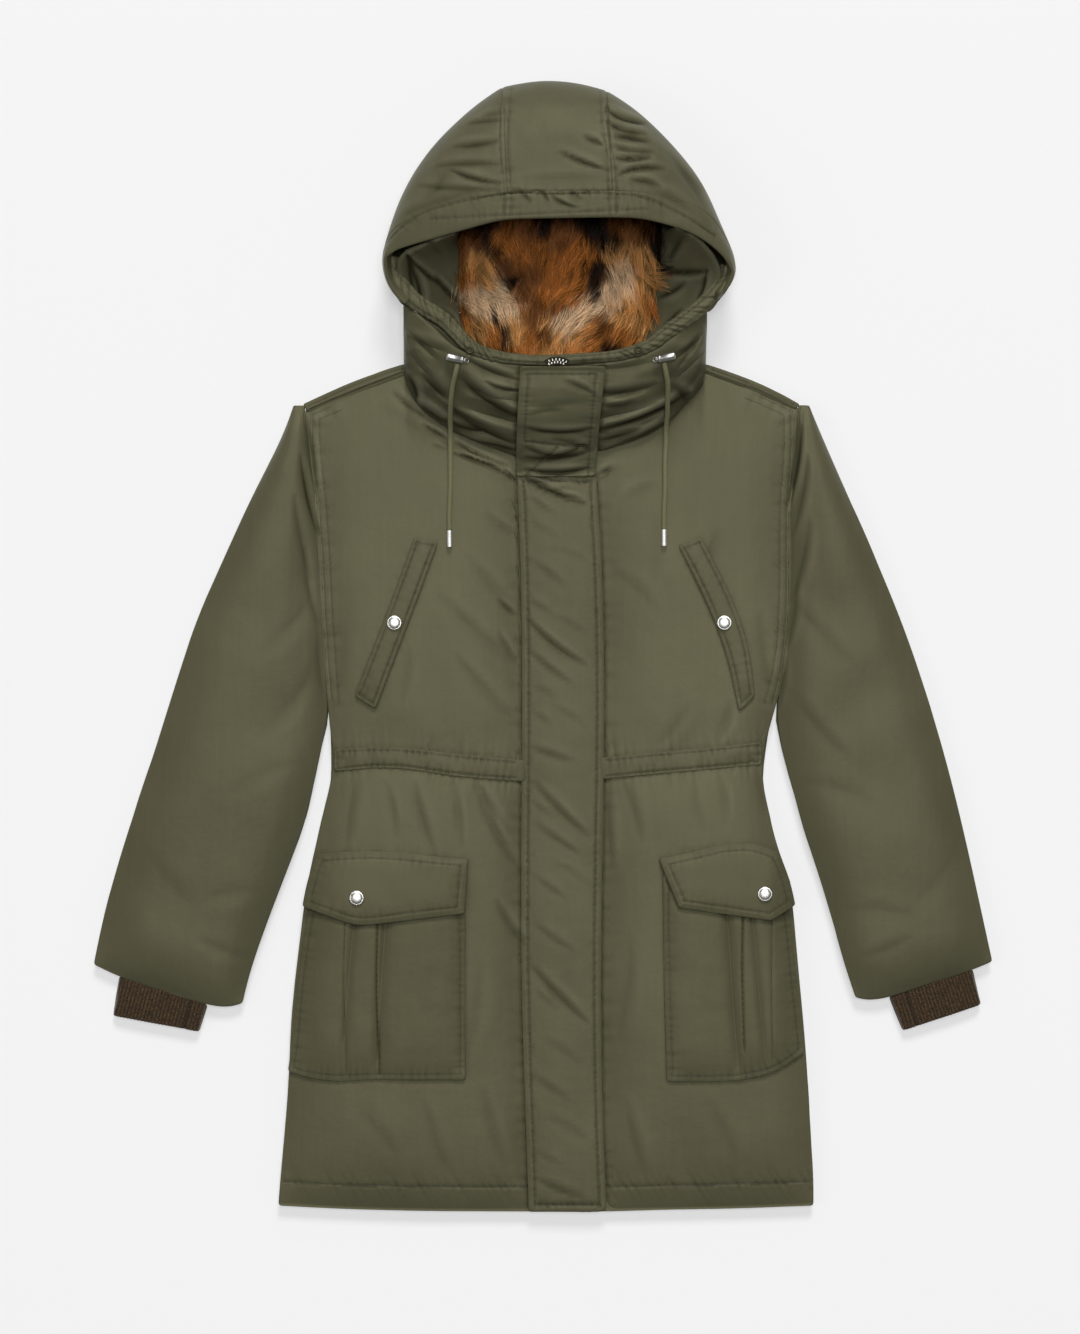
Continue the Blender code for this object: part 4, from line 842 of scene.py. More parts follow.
bodyCreases = [
    (-121, 224, -97, 209, -1, 1.8, 2.6), (-90, 206, -35, 182, -4, 2.2, 2.6),
    (-91, 196, -41, 181, -2, 1.5, 2.2), (-41, 181, -27, 165, -1, 1.2, 3), (-17, 166, 40, 149, -5, 1.6, 2.6),
    (-17, 169, 30, 159, -4, 1.4, 2.4), (-89, 194, -28, 168, 4, 2.1, 2.6), (-112, 205, -97, 197, -1, 1.2, 2.5),
    (-153, 257, -122, 234, -2, 2.0, 4), (56, 173, 69, 179, -1, 1.5, 3), (-166, 242, -29, 161, 6, 1.1, 8),
    (-56, 133, -27, 110, -3, 1.0, 5), (-105, 48, -24, -22, -6, 0.9, 8), (-74, 86, -26, 35, -4, 0.9, 7),
    (-137, -5, -146, -60, 3, 0.6, 6), (-44, 45, -26, 29, -2, 1.7, 3.5), (-44, 12, -26, -18, -3, 1.3, 4),
    (-89, -12, -28, -77, -5, 0.9, 7), (-132, -142, -112, -211, -4, 1.1, 6),
    (-68, -142, -23, -229, -9, 1.4, 5.5), (-66, -139, -33, -190, -6, 1.0, 5),
    (-160, -142, -150, -196, 4, 0.8, 5), (-92, -140, -84, -205, 3, 0.9, 5),
    (-46, -262, -20, -304, -3, 1.5, 5), (-190, -140, -200, -205, -4, 0.8, 7),
    (-205, 10, -215, -70, 4, 0.6, 9), (-62, -330, -78, -420, 4, 0.6, 8), (-60, -455, -38, -530, -4, 0.9, 7),
    (-190, -470, -150, -520, 5, 0.6, 8), (-120, -470, -96, -540, -4, 0.6, 7), (79, 146, 112, 163, 4, 1.0, 6),
    (59, 172, 76, 181, 3, 1.0, 5), (112, 128, 110, 62, 5, 0.6, 9), (161, 75, 177, 116, -4, 0.9, 6),
    (66, 78, 118, 30, 6, 0.5, 8), (150, -60, 120, -100, 4, 0.6, 7), (80, -138, 98, -200, 5, 0.8, 7),
    (66, -150, 70, -225, -3, 1.0, 5), (190, -60, 176, -98, 4, 1.0, 6), (214, -122, 226, -170, 4, 0.9, 7),
    (150, -136, 162, -190, -4, 0.6, 7), (180, -134, 186, -184, 3, 0.8, 5), (88, -300, 76, -400, 5, 0.6, 8),
    (84, -470, 104, -540, -5, 0.8, 8), (170, -470, 196, -530, 5, 0.6, 8), (222, 30, 236, -60, -5, 0.8, 8),
]
armholeCreases = [
    (-246, 192, -229, 112, -4, 2.2, 3.6), (-240, 222, -232, 150, 3, 1.3, 3.5),
    (-252, 150, -234, 66, -5, 1.4, 5), (-243, 96, -229, 20, -4, 1.2, 4.5), (-229, 10, -224, -50, -2, 0.9, 4),
    (262, 222, 249, 140, 4, 2.2, 3.6), (268, 190, 254, 112, 4, 1.4, 4.5), (270, 122, 252, 44, 4, 1.3, 5),
    (258, 60, 247, -6, 3, 1.1, 4.5), (246, -8, 239, -64, 2, 0.9, 4),
]
sleeveCreases = [
    (-240, 40, -292, -10, 6, 0.7, 9), (-236, -30, -286, -92, 8, 0.8, 9),
    (-250, -120, -322, -152, -8, 0.6, 10), (-290, -250, -350, -262, -6, 0.5, 9),
    (-300, -318, -350, -300, 4, 0.6, 7), (-404, -210, -352, -270, -6, 0.4, 11),
    (258, 40, 314, -20, -6, 0.7, 9), (254, -50, 306, -112, -8, 0.8, 9), (268, -140, 342, -166, 8, 0.6, 10),
    (310, -270, 372, -276, 6, 0.5, 9), (322, -318, 370, -300, -4, 0.6, 7), (420, -210, 370, -276, 6, 0.4, 11),
]
hoodCreases = [
    (42, 509, 59, 500, 2, 2.3, 3), (17, 494, 64, 475, -4, 2.6, 3.5), (-19, 467, 63, 467, 2, 1.0, 5),
    (64, 540, 102, 525, -9, 3.2, 4), (66, 524, 102, 513, -4, 3.5, 4), (74, 510, 106, 505, 2, 3.2, 4.5),
    (72, 499, 110, 494, -3, 2.5, 3.5), (74, 487, 108, 488, -2, 3.2, 4), (76, 470, 121, 477, 7, 2.8, 4),
    (89, 465, 119, 458, 3, 2.3, 4), (127, 492, 159, 454, 3, 1.7, 6), (98, 538, 128, 500, 5, 1.4, 6),
    (110, 456, 150, 434, 5, 1.4, 5), (134, 480, 162, 440, 4, 1.2, 5), (-61, 531, -44, 534, 1, 1.4, 3),
    (-74, 523, -44, 527, 2, 1.7, 3.5), (-89, 500, -46, 505, -2, 2.2, 4), (-106, 480, -46, 481, 3, 1.9, 4),
    (-93, 476, -44, 462, -6, 2.6, 3.5), (-125, 461, -46, 455, -3, 1.7, 4), (-117, 492, -96, 520, -4, 1.0, 6),
    (-139, 432, -74, 452, 4, 1.2, 5), (-120, 446, -100, 470, -4, 1.2, 6), (8, 450, 34, 437, -5, 2.0, 2.6),
    (-24, 454, -13, 443, 1, 1.6, 2.4), (-3, 454, 5, 444, 1, 1.6, 2.4), (27, 453, 40, 444, 1, 1.4, 2.4),
]
collarCreases = [
    (-57, 265, -24, 256, -6, 2.2, 3), (-80, 266, -24, 229, -10, 4.4, 8), (-137, 270, -129, 243, 3, 3.4, 4.5),
    (-90, 236, -28, 202, -8, 3.6, 7), (-92, 214, -28, 196, -5, 3.6, 3.4), (-121, 270, -97, 248, -3, 3.0, 7),
    (-75, 286, -22, 266, -5, 2.2, 4), (-146, 254, -95, 216, -4, 3.5, 4.4), (-136, 310, -97, 295, -2, 1.8, 6),
    (-126, 244, -97, 224, -2, 3.0, 5), (-100, 228, -60, 214, -5, 2.0, 4), (59, 254, 114, 263, -9, 2.0, 5),
    (56, 216, 147, 254, -14, 5.4, 5.4), (58, 207, 98, 219, -5, 2.4, 4), (54, 191, 140, 232, -6, 4.0, 4.4),
    (60, 278, 104, 284, -4, 1.2, 5), (62, 240, 92, 244, -4, 1.6, 4), (159, 318, 131, 272, 5, 1.8, 6),
    (130, 262, 152, 240, 4, 2.0, 5), (120, 292, 150, 300, -3, 1.2, 6),
]
tabCreases = [
    (22, 265, 52, 251, 2, 1.7, 4), (-15, 240, 30, 243, -3, 0.9, 5), (-15, 218, 48, 218, -9, 2.8, 3.6),
    (-17, 199, 42, 202, -18, 2.5, 3.6), (-17, 189, 46, 195, -8, 2.5, 3.4), (-17, 177, 46, 179, -8, 2.8, 3.6),
    (-16, 171, 52, 170, -22, 3.2, 4), (-14, 231, 18, 236, 2, 1.0, 4), (10, 207, 50, 196, 3, 1.4, 4),
]
liningCreases = [
    (-136, 391, -104, 366, -3, 2.9, 3), (-136, 391, -120, 340, 4, 3.2, 4), (-136, 391, -130, 346, 2, 2.2, 3),
    (-110, 375, -83, 347, -3, 3.2, 3), (-102, 340, -80, 312, 4, 2.6, 4), (-128, 420, -104, 396, -4, 2.6, 5),
    (165, 377, 116, 382, 4, 3.8, 4), (143, 367, 116, 353, 3, 2.6, 4), (165, 377, 153, 343, 3, 2.9, 3),
    (150, 420, 128, 392, -4, 2.6, 5), (140, 340, 120, 316, -4, 2.6, 4), (-44, 302, -28, 291, 0, 2.9, 3),
]
placketCreases = [
    (-18, 170, 45, 142, -8, 2.3, 4.4), (-16, 175, 25, 165, 0, 1.5, 3.5), (-14, 150, 10, 134, -2, 1, 3.9),
    (-16, 124, 14, 108, 2, 0.5, 4.4), (-16, 86, 22, 58, 0, 0.7, 5.5), (10, 98, 48, 82, 2, 0.4, 4.4),
    (-16, 25, 43, -21, -8, 1.9, 4.4), (-16, 46, 8, 32, -2, 0.7, 3.9), (-13, -8, 30, -41, -4, 1.1, 4.4),
    (6, 30, 46, 8, 3, 0.5, 4.4), (-13, -40, 14, -54, -2, 0.5, 4.4), (-11, -70, 7, -82, 0, 0.7, 4.4),
    (8, -62, 44, -86, 3, 0.4, 4.4), (-13, -105, 30, -118, -3, 1.1, 4.4), (-9, -142, 48, -197, -5, 1.5, 5),
    (-10, -181, 36, -213, -3, 0.9, 4.4), (-12, -160, 12, -176, -1, 0.7, 3.9),
    (-10, -235, 22, -259, -2, 0.7, 4.4), (10, -222, 48, -246, 3, 0.4, 4.4), (-9, -285, 30, -312, -3, 0.7, 5),
    (-10, -330, 45, -385, -4, 1.6, 5), (-9, -352, 18, -372, -2, 0.7, 4), (0, -402, 40, -430, 3, 0.5, 5.5),
    (-9, -440, 26, -462, -3, 0.6, 4.4), (4, -482, 46, -506, 3, 0.5, 5.5), (-8, -516, 20, -530, -2, 0.5, 4.4),
    (-7, -544, 42, -563, -3, 1.2, 4.4),
]


# cloth pieces


def finishCloth(thing, node, material):
    thing.data.materials.clear()
    thing.data.materials.append(material)
    finish(thing, node)


def linesOf(runs, **settings):
    # A seam for each line, all made alike.
    return [dict(line=run, **settings) for run in runs]


def contactOf(nodeNames, **settings):
    # The faint dip that a stitched-on piece presses into the cloth around it, with painted shade in it.
    lines = []
    for name in nodeNames:
        lines += linesOf(seamRuns(rimOf(name), -1.2), **settings)
    return lines


sides = {"left": -1, "right": 1}   # the viewer's, as the coat lies
armholeFoot = -60
placketMiddle = 20
lowerLayer = ("back_body", "collar_back", "hood_back", "sleeve_under_left", "sleeve_under_right")


def makeLowerLayer():
    for node in lowerLayer:
        thing, _ = smoothShell(node, levels=2, flat=True)
        inside = node in ("hood_back", "collar_back")
        finishCloth(thing, node, liningCloth if inside else shellCloth)


calmPlaces = [(-151, 22, 13), (184, 22, 13), (-189, -257, 13), (225, -253, 13)]   # round the snaps
front = {
    "hem": 24, "past": 22,             # how far up the hem's stitching runs, and how far past the sides
    "fallFrom": 95.0, "fall": 4.5,     # the foot of the front thins towards the hem
    "lap": 1.4, "shoulderLap": 2.4,    # the front laps a little over the sleeve, more at the shoulder
    "armhole": ((3, 215), (10, 205)),  # two rows of stitching: how far in, and from how far out they run
    # the last entry is painted shade, darker towards the hem
    "swell": ((120, 0.7, 5), (38, 0.18, 6)), "paintedShadeDown": (-60, -575, 0.2),
}
frontSeams = {
    "hem": dict(depth=0.9, width=1.2, shade=0.45, pucker=0.8, reach=12, every=8, lean=0.6, seed=31),
    "armhole": dict(depth=0.6, width=1.0, shade=0.35, pucker=0.2, reach=8, every=12, seed=8),
    "placket": dict(depth=0.9, width=2.0, shade=0.35, pucker=0.5, reach=11, every=14, seed=17),
    "sewnOn": dict(depth=0.5, width=1.6, shade=0.25),
    "casing": dict(depth=0.5, width=1.6, shade=0.3, pucker=0.8, reach=13, every=8, seed=23),
    # the collar's painted shadow on the chest
    "collar": dict(depth=1.4, width=4.5, shade=0.8, pucker=0.4, reach=14, every=16, seed=29),
}
pinches = {   # painted shadow lines along the hard thin creases that run out from under the collar
    "front_left": [((-121, 224), (-108, 216), (-97, 209)), ((-112, 205), (-104, 201), (-97, 198.5)),
                   ((-91, 196), (-75, 190), (-59, 184.5), (-41, 180.5)),
                   ((-90, 206), (-69, 193), (-52, 186), (-35, 182)), ((-41, 181), (-33, 174), (-27, 165))],
    "front_right": [((57, 176), (64, 178), (71, 183)), ((56, 168), (62, 170), (69, 175))],
    "placket": [((-17, 166), (0, 158), (16, 151), (34, 149)), ((-17, 169), (2, 163), (24, 160))],
}


def hemLines(rim, lowest):
    # The stitching of the hem, from side to side and a little past both.
    lines = []
    for run in seamRuns(rim, front["hem"], lambda x, y: y < lowest + 60):
        run = run[np.abs(run[:, 1] - run[:, 1].min()) < 14]
        if len(run) > 60:
            run = run[run[:, 0].argsort()]
            first = run[0] + (-front["past"], (run[0, 1] - run[30, 1]) * 0.4)
            last = run[-1] + (front["past"], (run[-1, 1] - run[-31, 1]) * 0.4)
            lines.append(resample(np.vstack([first, run, last]), lineStep))
    return lines


def shapeFront(thing, side, lowest):
    points, normals = readPoints(thing), readNormals(thing)
    fall = fade(lowest + front["fallFrom"] - points[:, 1], 0, front["fallFrom"]) ** 2 * front["fall"]
    points[:, 2] -= fall * np.clip(normals[:, 2], 0, 1)
    outward = fade(points[:, 0] * side, 222, 10) * fade(points[:, 1], armholeFoot, 40)
    atShoulder = fade(points[:, 1], 212, 20)
    points[:, 0] += side * (front["lap"] + front["shoulderLap"] * atShoulder) * outward
    writePoints(thing, points)


def makeFronts():
    for which, side in sides.items():
        node = "front_" + which
        thing, rim = smoothShell(node)
        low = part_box(node)[0] / mm
        shapeFront(thing, side, low.y)
        hem = hemLines(rim, low.y)
        seams = linesOf(hem, **frontSeams["hem"])
        armhole = []
        for inward, outside in front["armhole"]:
            armhole += seamRuns(rim, inward, lambda x, y: y > armholeFoot and abs(x) > outside)
        seams += linesOf(armhole, **frontSeams["armhole"])
        besidePlacket = seamRuns(rimOf("placket"), -1.6, lambda x, y: (x - placketMiddle) * side > 24)
        seams += linesOf(besidePlacket, **frontSeams["placket"])
        onTop = [part + which for part in ("pocket_", "flap_", "chest_welt_")]
        seams += contactOf(onTop, **frontSeams["sewnOn"])
        seams += linesOf(seamRuns(rimOf("waist_casing_" + which), -2), **frontSeams["casing"])
        seams += linesOf(seamRuns(rimOf("collar_" + which), -2.5), **frontSeams["collar"])
        relieve(thing, seams, bodyCreases + armholeCreases, front["swell"], calm=calmPlaces,
                paintedShadeDown=front["paintedShadeDown"])
        layStitches(thing, hem + armhole)
        # painted shadow tubes beside the placket, along the armhole, on the creases, round the pieces sewn on
        # top and under the collar
        shadowLines = besidePlacket + seamRuns(rim, 1.0, lambda x, y: y > armholeFoot)
        shadowLines += [smoothLine(knots) for knots in pinches[node]]
        for part in onTop:
            shadowLines += seamRuns(rimOf(part), -0.9)
        layShadowTubes(thing, shadowLines + seamRuns(rimOf("collar_" + which), -1))
        finishCloth(thing, node, shellCloth)


sleeve = {
    "hem": dict(depth=0.8, width=1.3, shade=0.5, pucker=0.7, reach=12, every=7, seed=44),
    "armhole": dict(depth=1.0, width=2.0, shade=0.6, pucker=0.8, reach=14, every=15, lean=0.6, seed=46),
    "shoulder": dict(depth=0.6, width=1.2, shade=0.4),
    "swell": ((130, 1.2, 9), (44, 0.2, 4)), "shoulderSwell": ((90, 1.2, 5), (34, 0.5, 6)),
    # painted shade, darker towards the cuff
    "paintedShadeDown": (100, -330, 0.08),
}


def makeSleeves():
    for which in sides:
        node = "sleeve_top_" + which
        thing, rim = smoothShell(node)
        hem = seamRuns(rim, 5, nearTo(rimOf("cuff_" + which)[:, :2], 16))
        seams = linesOf(hem, **sleeve["hem"])
        armhole = seamRuns(rim, 1.5, nearTo(rimOf("front_" + which)[:, :2], 9, lambda x, y: y > armholeFoot))
        seams += linesOf(armhole, **sleeve["armhole"])
        relieve(thing, seams, armholeCreases + sleeveCreases, sleeve["swell"], paintedShadeDown=sleeve["paintedShadeDown"])
        layStitches(thing, hem)
        finishCloth(thing, node, sleeveNylonPaintedShade)
        node = "shoulder_" + which
        thing, rim = smoothShell(node)
        seams = linesOf(seamRuns(rim, 2), **sleeve["shoulder"])
        relieve(thing, seams, bodyCreases, sleeve["shoulderSwell"])
        finishCloth(thing, node, sleeveNylonPaintedShade)


placket = {
    "stitching": 5.4, "hem": 6.5, "upTo": 168,   # how far in its two seams run, and how high the first goes
    "seam": dict(depth=1.1, width=1.1, shade=0.55, pucker=0.5, reach=5, every=4.5, lean=0.4, seed=5),
    # the last entry is painted shade, darker towards the hem
    "swell": ((90, 0.6, 5), (30, 0.2, 6)), "paintedShadeDown": (-250, -575, 0.12),
}


def makePlacket():
    thing, rim = smoothShell("placket")
    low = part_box("placket")[0] / mm
    stitched = seamRuns(rim, placket["stitching"], lambda x, y: y < placket["upTo"])
    hem = seamRuns(rim, placket["hem"], lambda x, y: y < low.y + 12)
    seams = linesOf(stitched + hem, **placket["seam"])
    relieve(thing, seams, bodyCreases + placketCreases, placket["swell"], paintedShadeDown=placket["paintedShadeDown"])
    layStitches(thing, stitched)
    layShadowTubes(thing, [smoothLine(knots) for knots in pinches["placket"]])
    finishCloth(thing, "placket", sleeveNylonPaintedShade)


collar = {
    "besideTab": dict(depth=1.2, width=2.0, shade=0.6, pucker=0.7, reach=11, every=10, seed=53),
    "swell": ((60, 1.2, 5), (24, 0.4, 6)),
}
tab = {
    "seam": dict(depth=1.1, width=1.1, shade=0.55, pucker=0.55, reach=5, every=4.5, seed=12),
    "swell": ((50, 0.8, 5), (20, 0.3, 6)),
    "slopeFrom": 172.0, "height": 19.5, "slope": 0.42,   # it climbs onto the collar
    "stitching": 7,                                      # how far in its stitching runs
    "feet": ((-18.5, 170.0), (45.6, 170.0)),             # where the stitching meets the placket
    "fold": ((10, 171.2), (52, 171.8)),                  # a painted shadow line at its foot
}


def archOf(rim):
    # The tab's stitching: up one side, over the top and down the other, from foot to foot.
    moved, clear = inset(rim, tab["stitching"])
    moved = moved[clear & (moved[:, 1] > 190)]
    middle, top = moved[:, 0].mean(), moved[:, 1].max() - 5
    left = moved[(moved[:, 0] < middle) & (moved[:, 1] < top)]
    upper = moved[moved[:, 1] >= top]
    right = moved[(moved[:, 0] > middle) & (moved[:, 1] < top)]
    arch = [left[left[:, 1].argsort()], upper[upper[:, 0].argsort()], right[right[:, 1].argsort()[::-1]]]
    return resample(np.vstack([tab["feet"][:1], *arch, tab["feet"][1:]]), lineStep)


def makeCollar():
    tabRim = rimOf("collar_tab")
    for which in sides:
        node = "collar_" + which
        thing, _ = smoothShell(node)
        seams = linesOf(seamRuns(tabRim, -1.6), **collar["besideTab"])
        relieve(thing, seams, collarCreases, collar["swell"])
        layShadowTubes(thing, seamRuns(tabRim, -0.9))
        finishCloth(thing, node, collarNylonPaintedShade)
    thing, rim = smoothShell("collar_tab")
    points, normals = readPoints(thing), readNormals(thing)
    lifted = np.maximum(points[:, 2], tab["height"] + tab["slope"] * (points[:, 1] - tab["slopeFrom"]))
    points[:, 2] += (lifted - points[:, 2]) * np.clip(normals[:, 2] * 3, 0, 1)
    writePoints(thing, points)
    stitched = [archOf(rim)]
    relieve(thing, linesOf(stitched, **tab["seam"]), tabCreases, tab["swell"])
    layStitches(thing, stitched)
    layShadowTubes(thing, [resample(tab["fold"], lineStep)])
    finishCloth(thing, "collar_tab", trimNylonPaintedShade)


openingHem = {   # middle line and width of the padded hem round the face opening
    "left": ([(-152, 392), (-152.5, 380), (-149.5, 369), (-141.5, 360), (-132, 349), (-119, 339.5),
              (-102.5, 329.5), (-89, 316.5), (-77, 303.5), (-61.5, 295.2), (-38, 289.5), (-13, 287),
              (16, 286.6)],
             (15, 19, 19, 18.5, 18, 17, 16, 15, 13.5, 12.5, 12, 12, 12)),
    "right": ([(186, 383), (182.5, 368), (172, 353.5), (159, 340.5), (142.5, 327.5), (123.5, 314.3),
               (108, 302.2), (88, 295), (70, 291), (43, 289), (14, 287)],
              (15, 18.5, 18.5, 18, 17, 15.5, 14, 12.5, 12, 12, 12)),
}
hemShape = {"crown": 3.6, "wall": 5.0, "lift": 0.8, "lowest": 40, "highest": 62}
hemSeams = (   # where the two seams run in the width of the hem, and how they gather it
    (-0.24, dict(depth=0.8, width=1.2, shade=0.4, pucker=2.2, reach=8, every=6.5, seed=49)),
    (0.26, dict(depth=0.4, width=1.2, shade=0.4, pucker=1.9, reach=6, every=8, seed=50)),
)
hemMiddle = {"x": 16, "reach": 62}   # at the throat the hem is gathered little


def heightsUnder(line, run, nodeNames):
    # The height of the uppermost of some solids along a line, smoothed.
    under = [surfaceOf(nodes[name]) for name in nodeNames]
    heights = []
    for x, y in line:
        hits = [dropOn(tree, x, y)[0] for tree in under]
        heights.append(max([hit.z / mm for hit in hits if hit is not None], default=np.nan))
    heights = np.array(heights)
    known = (heights > hemShape["lowest"]) & (heights < hemShape["highest"])
    heights = np.interp(run, run[known], heights[known])
    return np.convolve(np.pad(heights, 7, mode="edge"), np.ones(15) / 15, mode="valid")


def makeOpeningHem(which):
    # The hem is a strip on the collar's upper edge that runs on round the corner, under the visor.
    node = "hood_rim_" + which
    knots, widths = openingHem[which]
    line = smoothLine(knots, 2.5)
    run = np.linspace(0, 1, len(line))
    wide = np.interp(run, np.linspace(0, 1, len(widths)), widths)
    heights = heightsUnder(line, run, (node, "collar_" + which, "hood_band"))
    ahead = np.gradient(line, axis=0)
    ahead /= np.linalg.norm(ahead, axis=1, keepdims=True)
    across = np.column_stack([-ahead[:, 1], ahead[:, 0]])
    mesh = bmesh.new()
    bmesh.ops.create_grid(mesh, x_segments=len(line) - 1, y_segments=10, size=0.5)
    for vert in mesh.verts:
        i, off = round((vert.co.x + 0.5) * (len(line) - 1)), vert.co.y * 2
        place = line[i] + across[i] * off * wide[i] / 2
        high = heights[i] + hemShape["lift"] + hemShape["crown"] * (1 - off ** 2) ** 0.6
        vert.co = Vector((*place, high)) * mm
    bmesh.ops.recalc_face_normals(mesh, faces=mesh.faces)
    if sum(face.normal.z for face in mesh.faces) < 0:
        bmesh.ops.reverse_faces(mesh, faces=mesh.faces)
    thing = toObject(mesh, "cloth_" + node)
    wall = thing.modifiers.new("wall", "SOLIDIFY")
    wall.thickness = hemShape["wall"] * mm
    wall.offset = -1.0
    soft = thing.modifiers.new("subdivide", "SUBSURF")
    soft.levels = soft.render_levels = 1
    applyModifiers(thing).shade_smooth()
    edges, seams = [], []
    for part, settings in hemSeams:
        edge = smoothLine(line + across * (wide * part)[:, None])
        edges.append(edge)
        atThroat = np.abs(edge[:, 0] - hemMiddle["x"]) < hemMiddle["reach"]
        seams.append(dict(settings, line=edge[~atThroat], lean=1.0))
        seams.append(dict(settings, line=edge[atThroat], pucker=settings["pucker"] * 0.2))
    relieve(thing, seams, (), hoodSwell["openingHem"])
    layStitches(thing, edges[:1])
    finishCloth(thing, node, trimNylonPaintedShade)


tunnel = smoothLine([   # the seam of the drawcord's tunnel, between the hood's panels and its band
    (-160, 402), (-140, 421), (-116, 435), (-78, 445), (-42, 450), (-23, 453), (7, 451), (45, 452), (74, 451),
    (102, 447), (140, 431), (172, 411)])
crownLines = [   # the twin stitching on each side of the middle panel, from the top down to the visor's edge
    ((-41, 562), (-43.5, 532), (-44, 507), (-42, 481), (-39, 456), (-39, 431)),
    ((-32, 562), (-35, 532), (-36, 507), (-35, 481), (-32, 456), (-32, 430)),
    ((58, 562), (59, 532), (64, 494), (65.5, 462), (67, 430)),
    ((64, 562), (65, 532), (67, 507), (72, 481), (74, 456), (74, 431)),
]
neckReach = {"from": 352.0, "over": 8.0, "by": 2.8}   # the sides come down onto the collar
hoodSeams = {
    "middle": dict(depth=0.7, width=1.4, shade=0.3, pucker=1.2, reach=8, every=6.5, seed=41),
    "tunnel": dict(depth=1.1, width=1.4, shade=0.5, pucker=0.5, reach=8, every=7.5, lean=0.4, seed=42),
    "crown": dict(depth=0.8, width=1.0, shade=0.4, pucker=0.35, reach=6, every=8, seed=47),
    "hem": dict(depth=0.6, width=1.1, shade=0.4, pucker=0.4, reach=7, every=6, seed=48),
}
hoodSwell = {
    "panel": ((70, 0.9, 5), (26, 0.4, 6)), "band": ((60, 0.7, 5), (24, 0.35, 6)),
    "openingHem": ((30, 0.8, 5), (12, 0.5, 6)), "lining": ((50, 1.0, 5), (20, 0.5, 6)),
}


def makeHood():
    crown = [smoothLine(line) for line in crownLines]
    middle = [tunnel[(tunnel[:, 0] > -34) & (tunnel[:, 0] < 58)]]
    gather = linesOf(middle, **hoodSeams["middle"])
    gather += linesOf([tunnel], **hoodSeams["tunnel"])
    gather += linesOf(crown, **hoodSeams["crown"])
    for node in ("hood_side_left", "hood_side_right", "hood_centre"):
        thing, _ = smoothShell(node)
        points = readPoints(thing)
        points[:, 1] -= neckReach["by"] * fade(neckReach["from"] - points[:, 1], 0, neckReach["over"])
        writePoints(thing, points)
        relieve(thing, gather, hoodCreases, hoodSwell["panel"])
        layStitches(thing, crown)
        finishCloth(thing, node, sleeveNylonPaintedShade)
    thing, rim = smoothShell("hood_band")
    hem = seamRuns(rim, 3.5, farFrom(tunnel, 9))
    relieve(thing, gather + linesOf(hem, **hoodSeams["hem"]), hoodCreases, hoodSwell["band"])
    layStitches(thing, hem + crown)
    layShadowTubes(thing, [tunnel])
    finishCloth(thing, "hood_band", trimNylonPaintedShade)
    for which in sides:
        makeOpeningHem(which)
        node = "hood_lining_" + which
        thing, _ = smoothShell(node, levels=2)
        relieve(thing, (), liningCreases, hoodSwell["lining"])
        finishCloth(thing, node, liningCloth)


pleats = {   # the fold lines of the box pleat, with painted shade and a painted shadow tube: points, depth, shade
    "left": [([(-201, -276), (-202, -330), (-200, -436)], 0.5, 0.3),
             ([(-167, -268), (-168.5, -340), (-166, -437)], 1.2, 0.75)],
    "right": [([(203.5, -262), (202, -330), (204, -412)], 1.2, 0.75),
              ([(233, -262), (232, -340), (233, -420)], 0.5, 0.3)],
}
casing = {
    "reach": 6, "over": 25, "sunk": 1.3,   # it runs on towards the placket, sunk a little in the front
    "seam": dict(depth=0.8, width=1.2, shade=0.3, pucker=1.1, reach=8, every=6.5, seed=4),
    "swell": ((40, 0.5, 5),),
}
# painted shadow of the flap on the pocket, in the dip under its edge
underFlap = dict(depth=1.0, width=2.2, shade=0.7)
patches = {   # sewn-on pieces: how far in the stitching runs, its seam, and what shapes and carries the piece
    "chest_welt_": dict(
        inset=3, seam=dict(depth=0.7, width=1.0, shade=0.4, pucker=0.3, reach=6, every=8, seed=14),
        creases=(), swell=((70, 0.6, 5),), calm=calmPlaces, cloth=trimNylonPaintedShade, on="front_"),
    "pocket_": dict(
        inset=4, seam=dict(depth=0.6, width=1.0, shade=0.35, pucker=0.4, reach=8, every=7, seed=15),
        creases=bodyCreases, swell=((100, 0.9, 5), (34, 0.25, 6)), calm=(), cloth=pocketNylonPaintedShade, on="front_"),
    "flap_": dict(
        inset=6, seam=dict(depth=0.7, width=1.0, shade=0.4, pucker=0.3, reach=6, every=7, seed=16),
        creases=(), swell=((90, 0.8, 5), (34, 0.3, 6)), calm=calmPlaces, cloth=pocketNylonPaintedShade, on="pocket_"),
}


def makeCasing(which, side):
    node = "waist_casing_" + which
    thing, rim = smoothShell(node, rounding=5)
    points = readPoints(thing)
    inner = (points[:, 0] * -side).max() * -side
    points[:, 0] -= side * casing["reach"] * np.exp(-np.abs(points[:, 0] - inner) / casing["over"])
    points[:, 2] -= casing["sunk"]
    writePoints(thing, points)
    edges = seamRuns(rim, 1.5, lambda x, y: abs(x - inner) > 4)
    relieve(thing, linesOf(edges, **casing["seam"]), bodyCreases, casing["swell"])
    layStitches(thing, edges)
    finishCloth(thing, node, trimNylonPaintedShade)


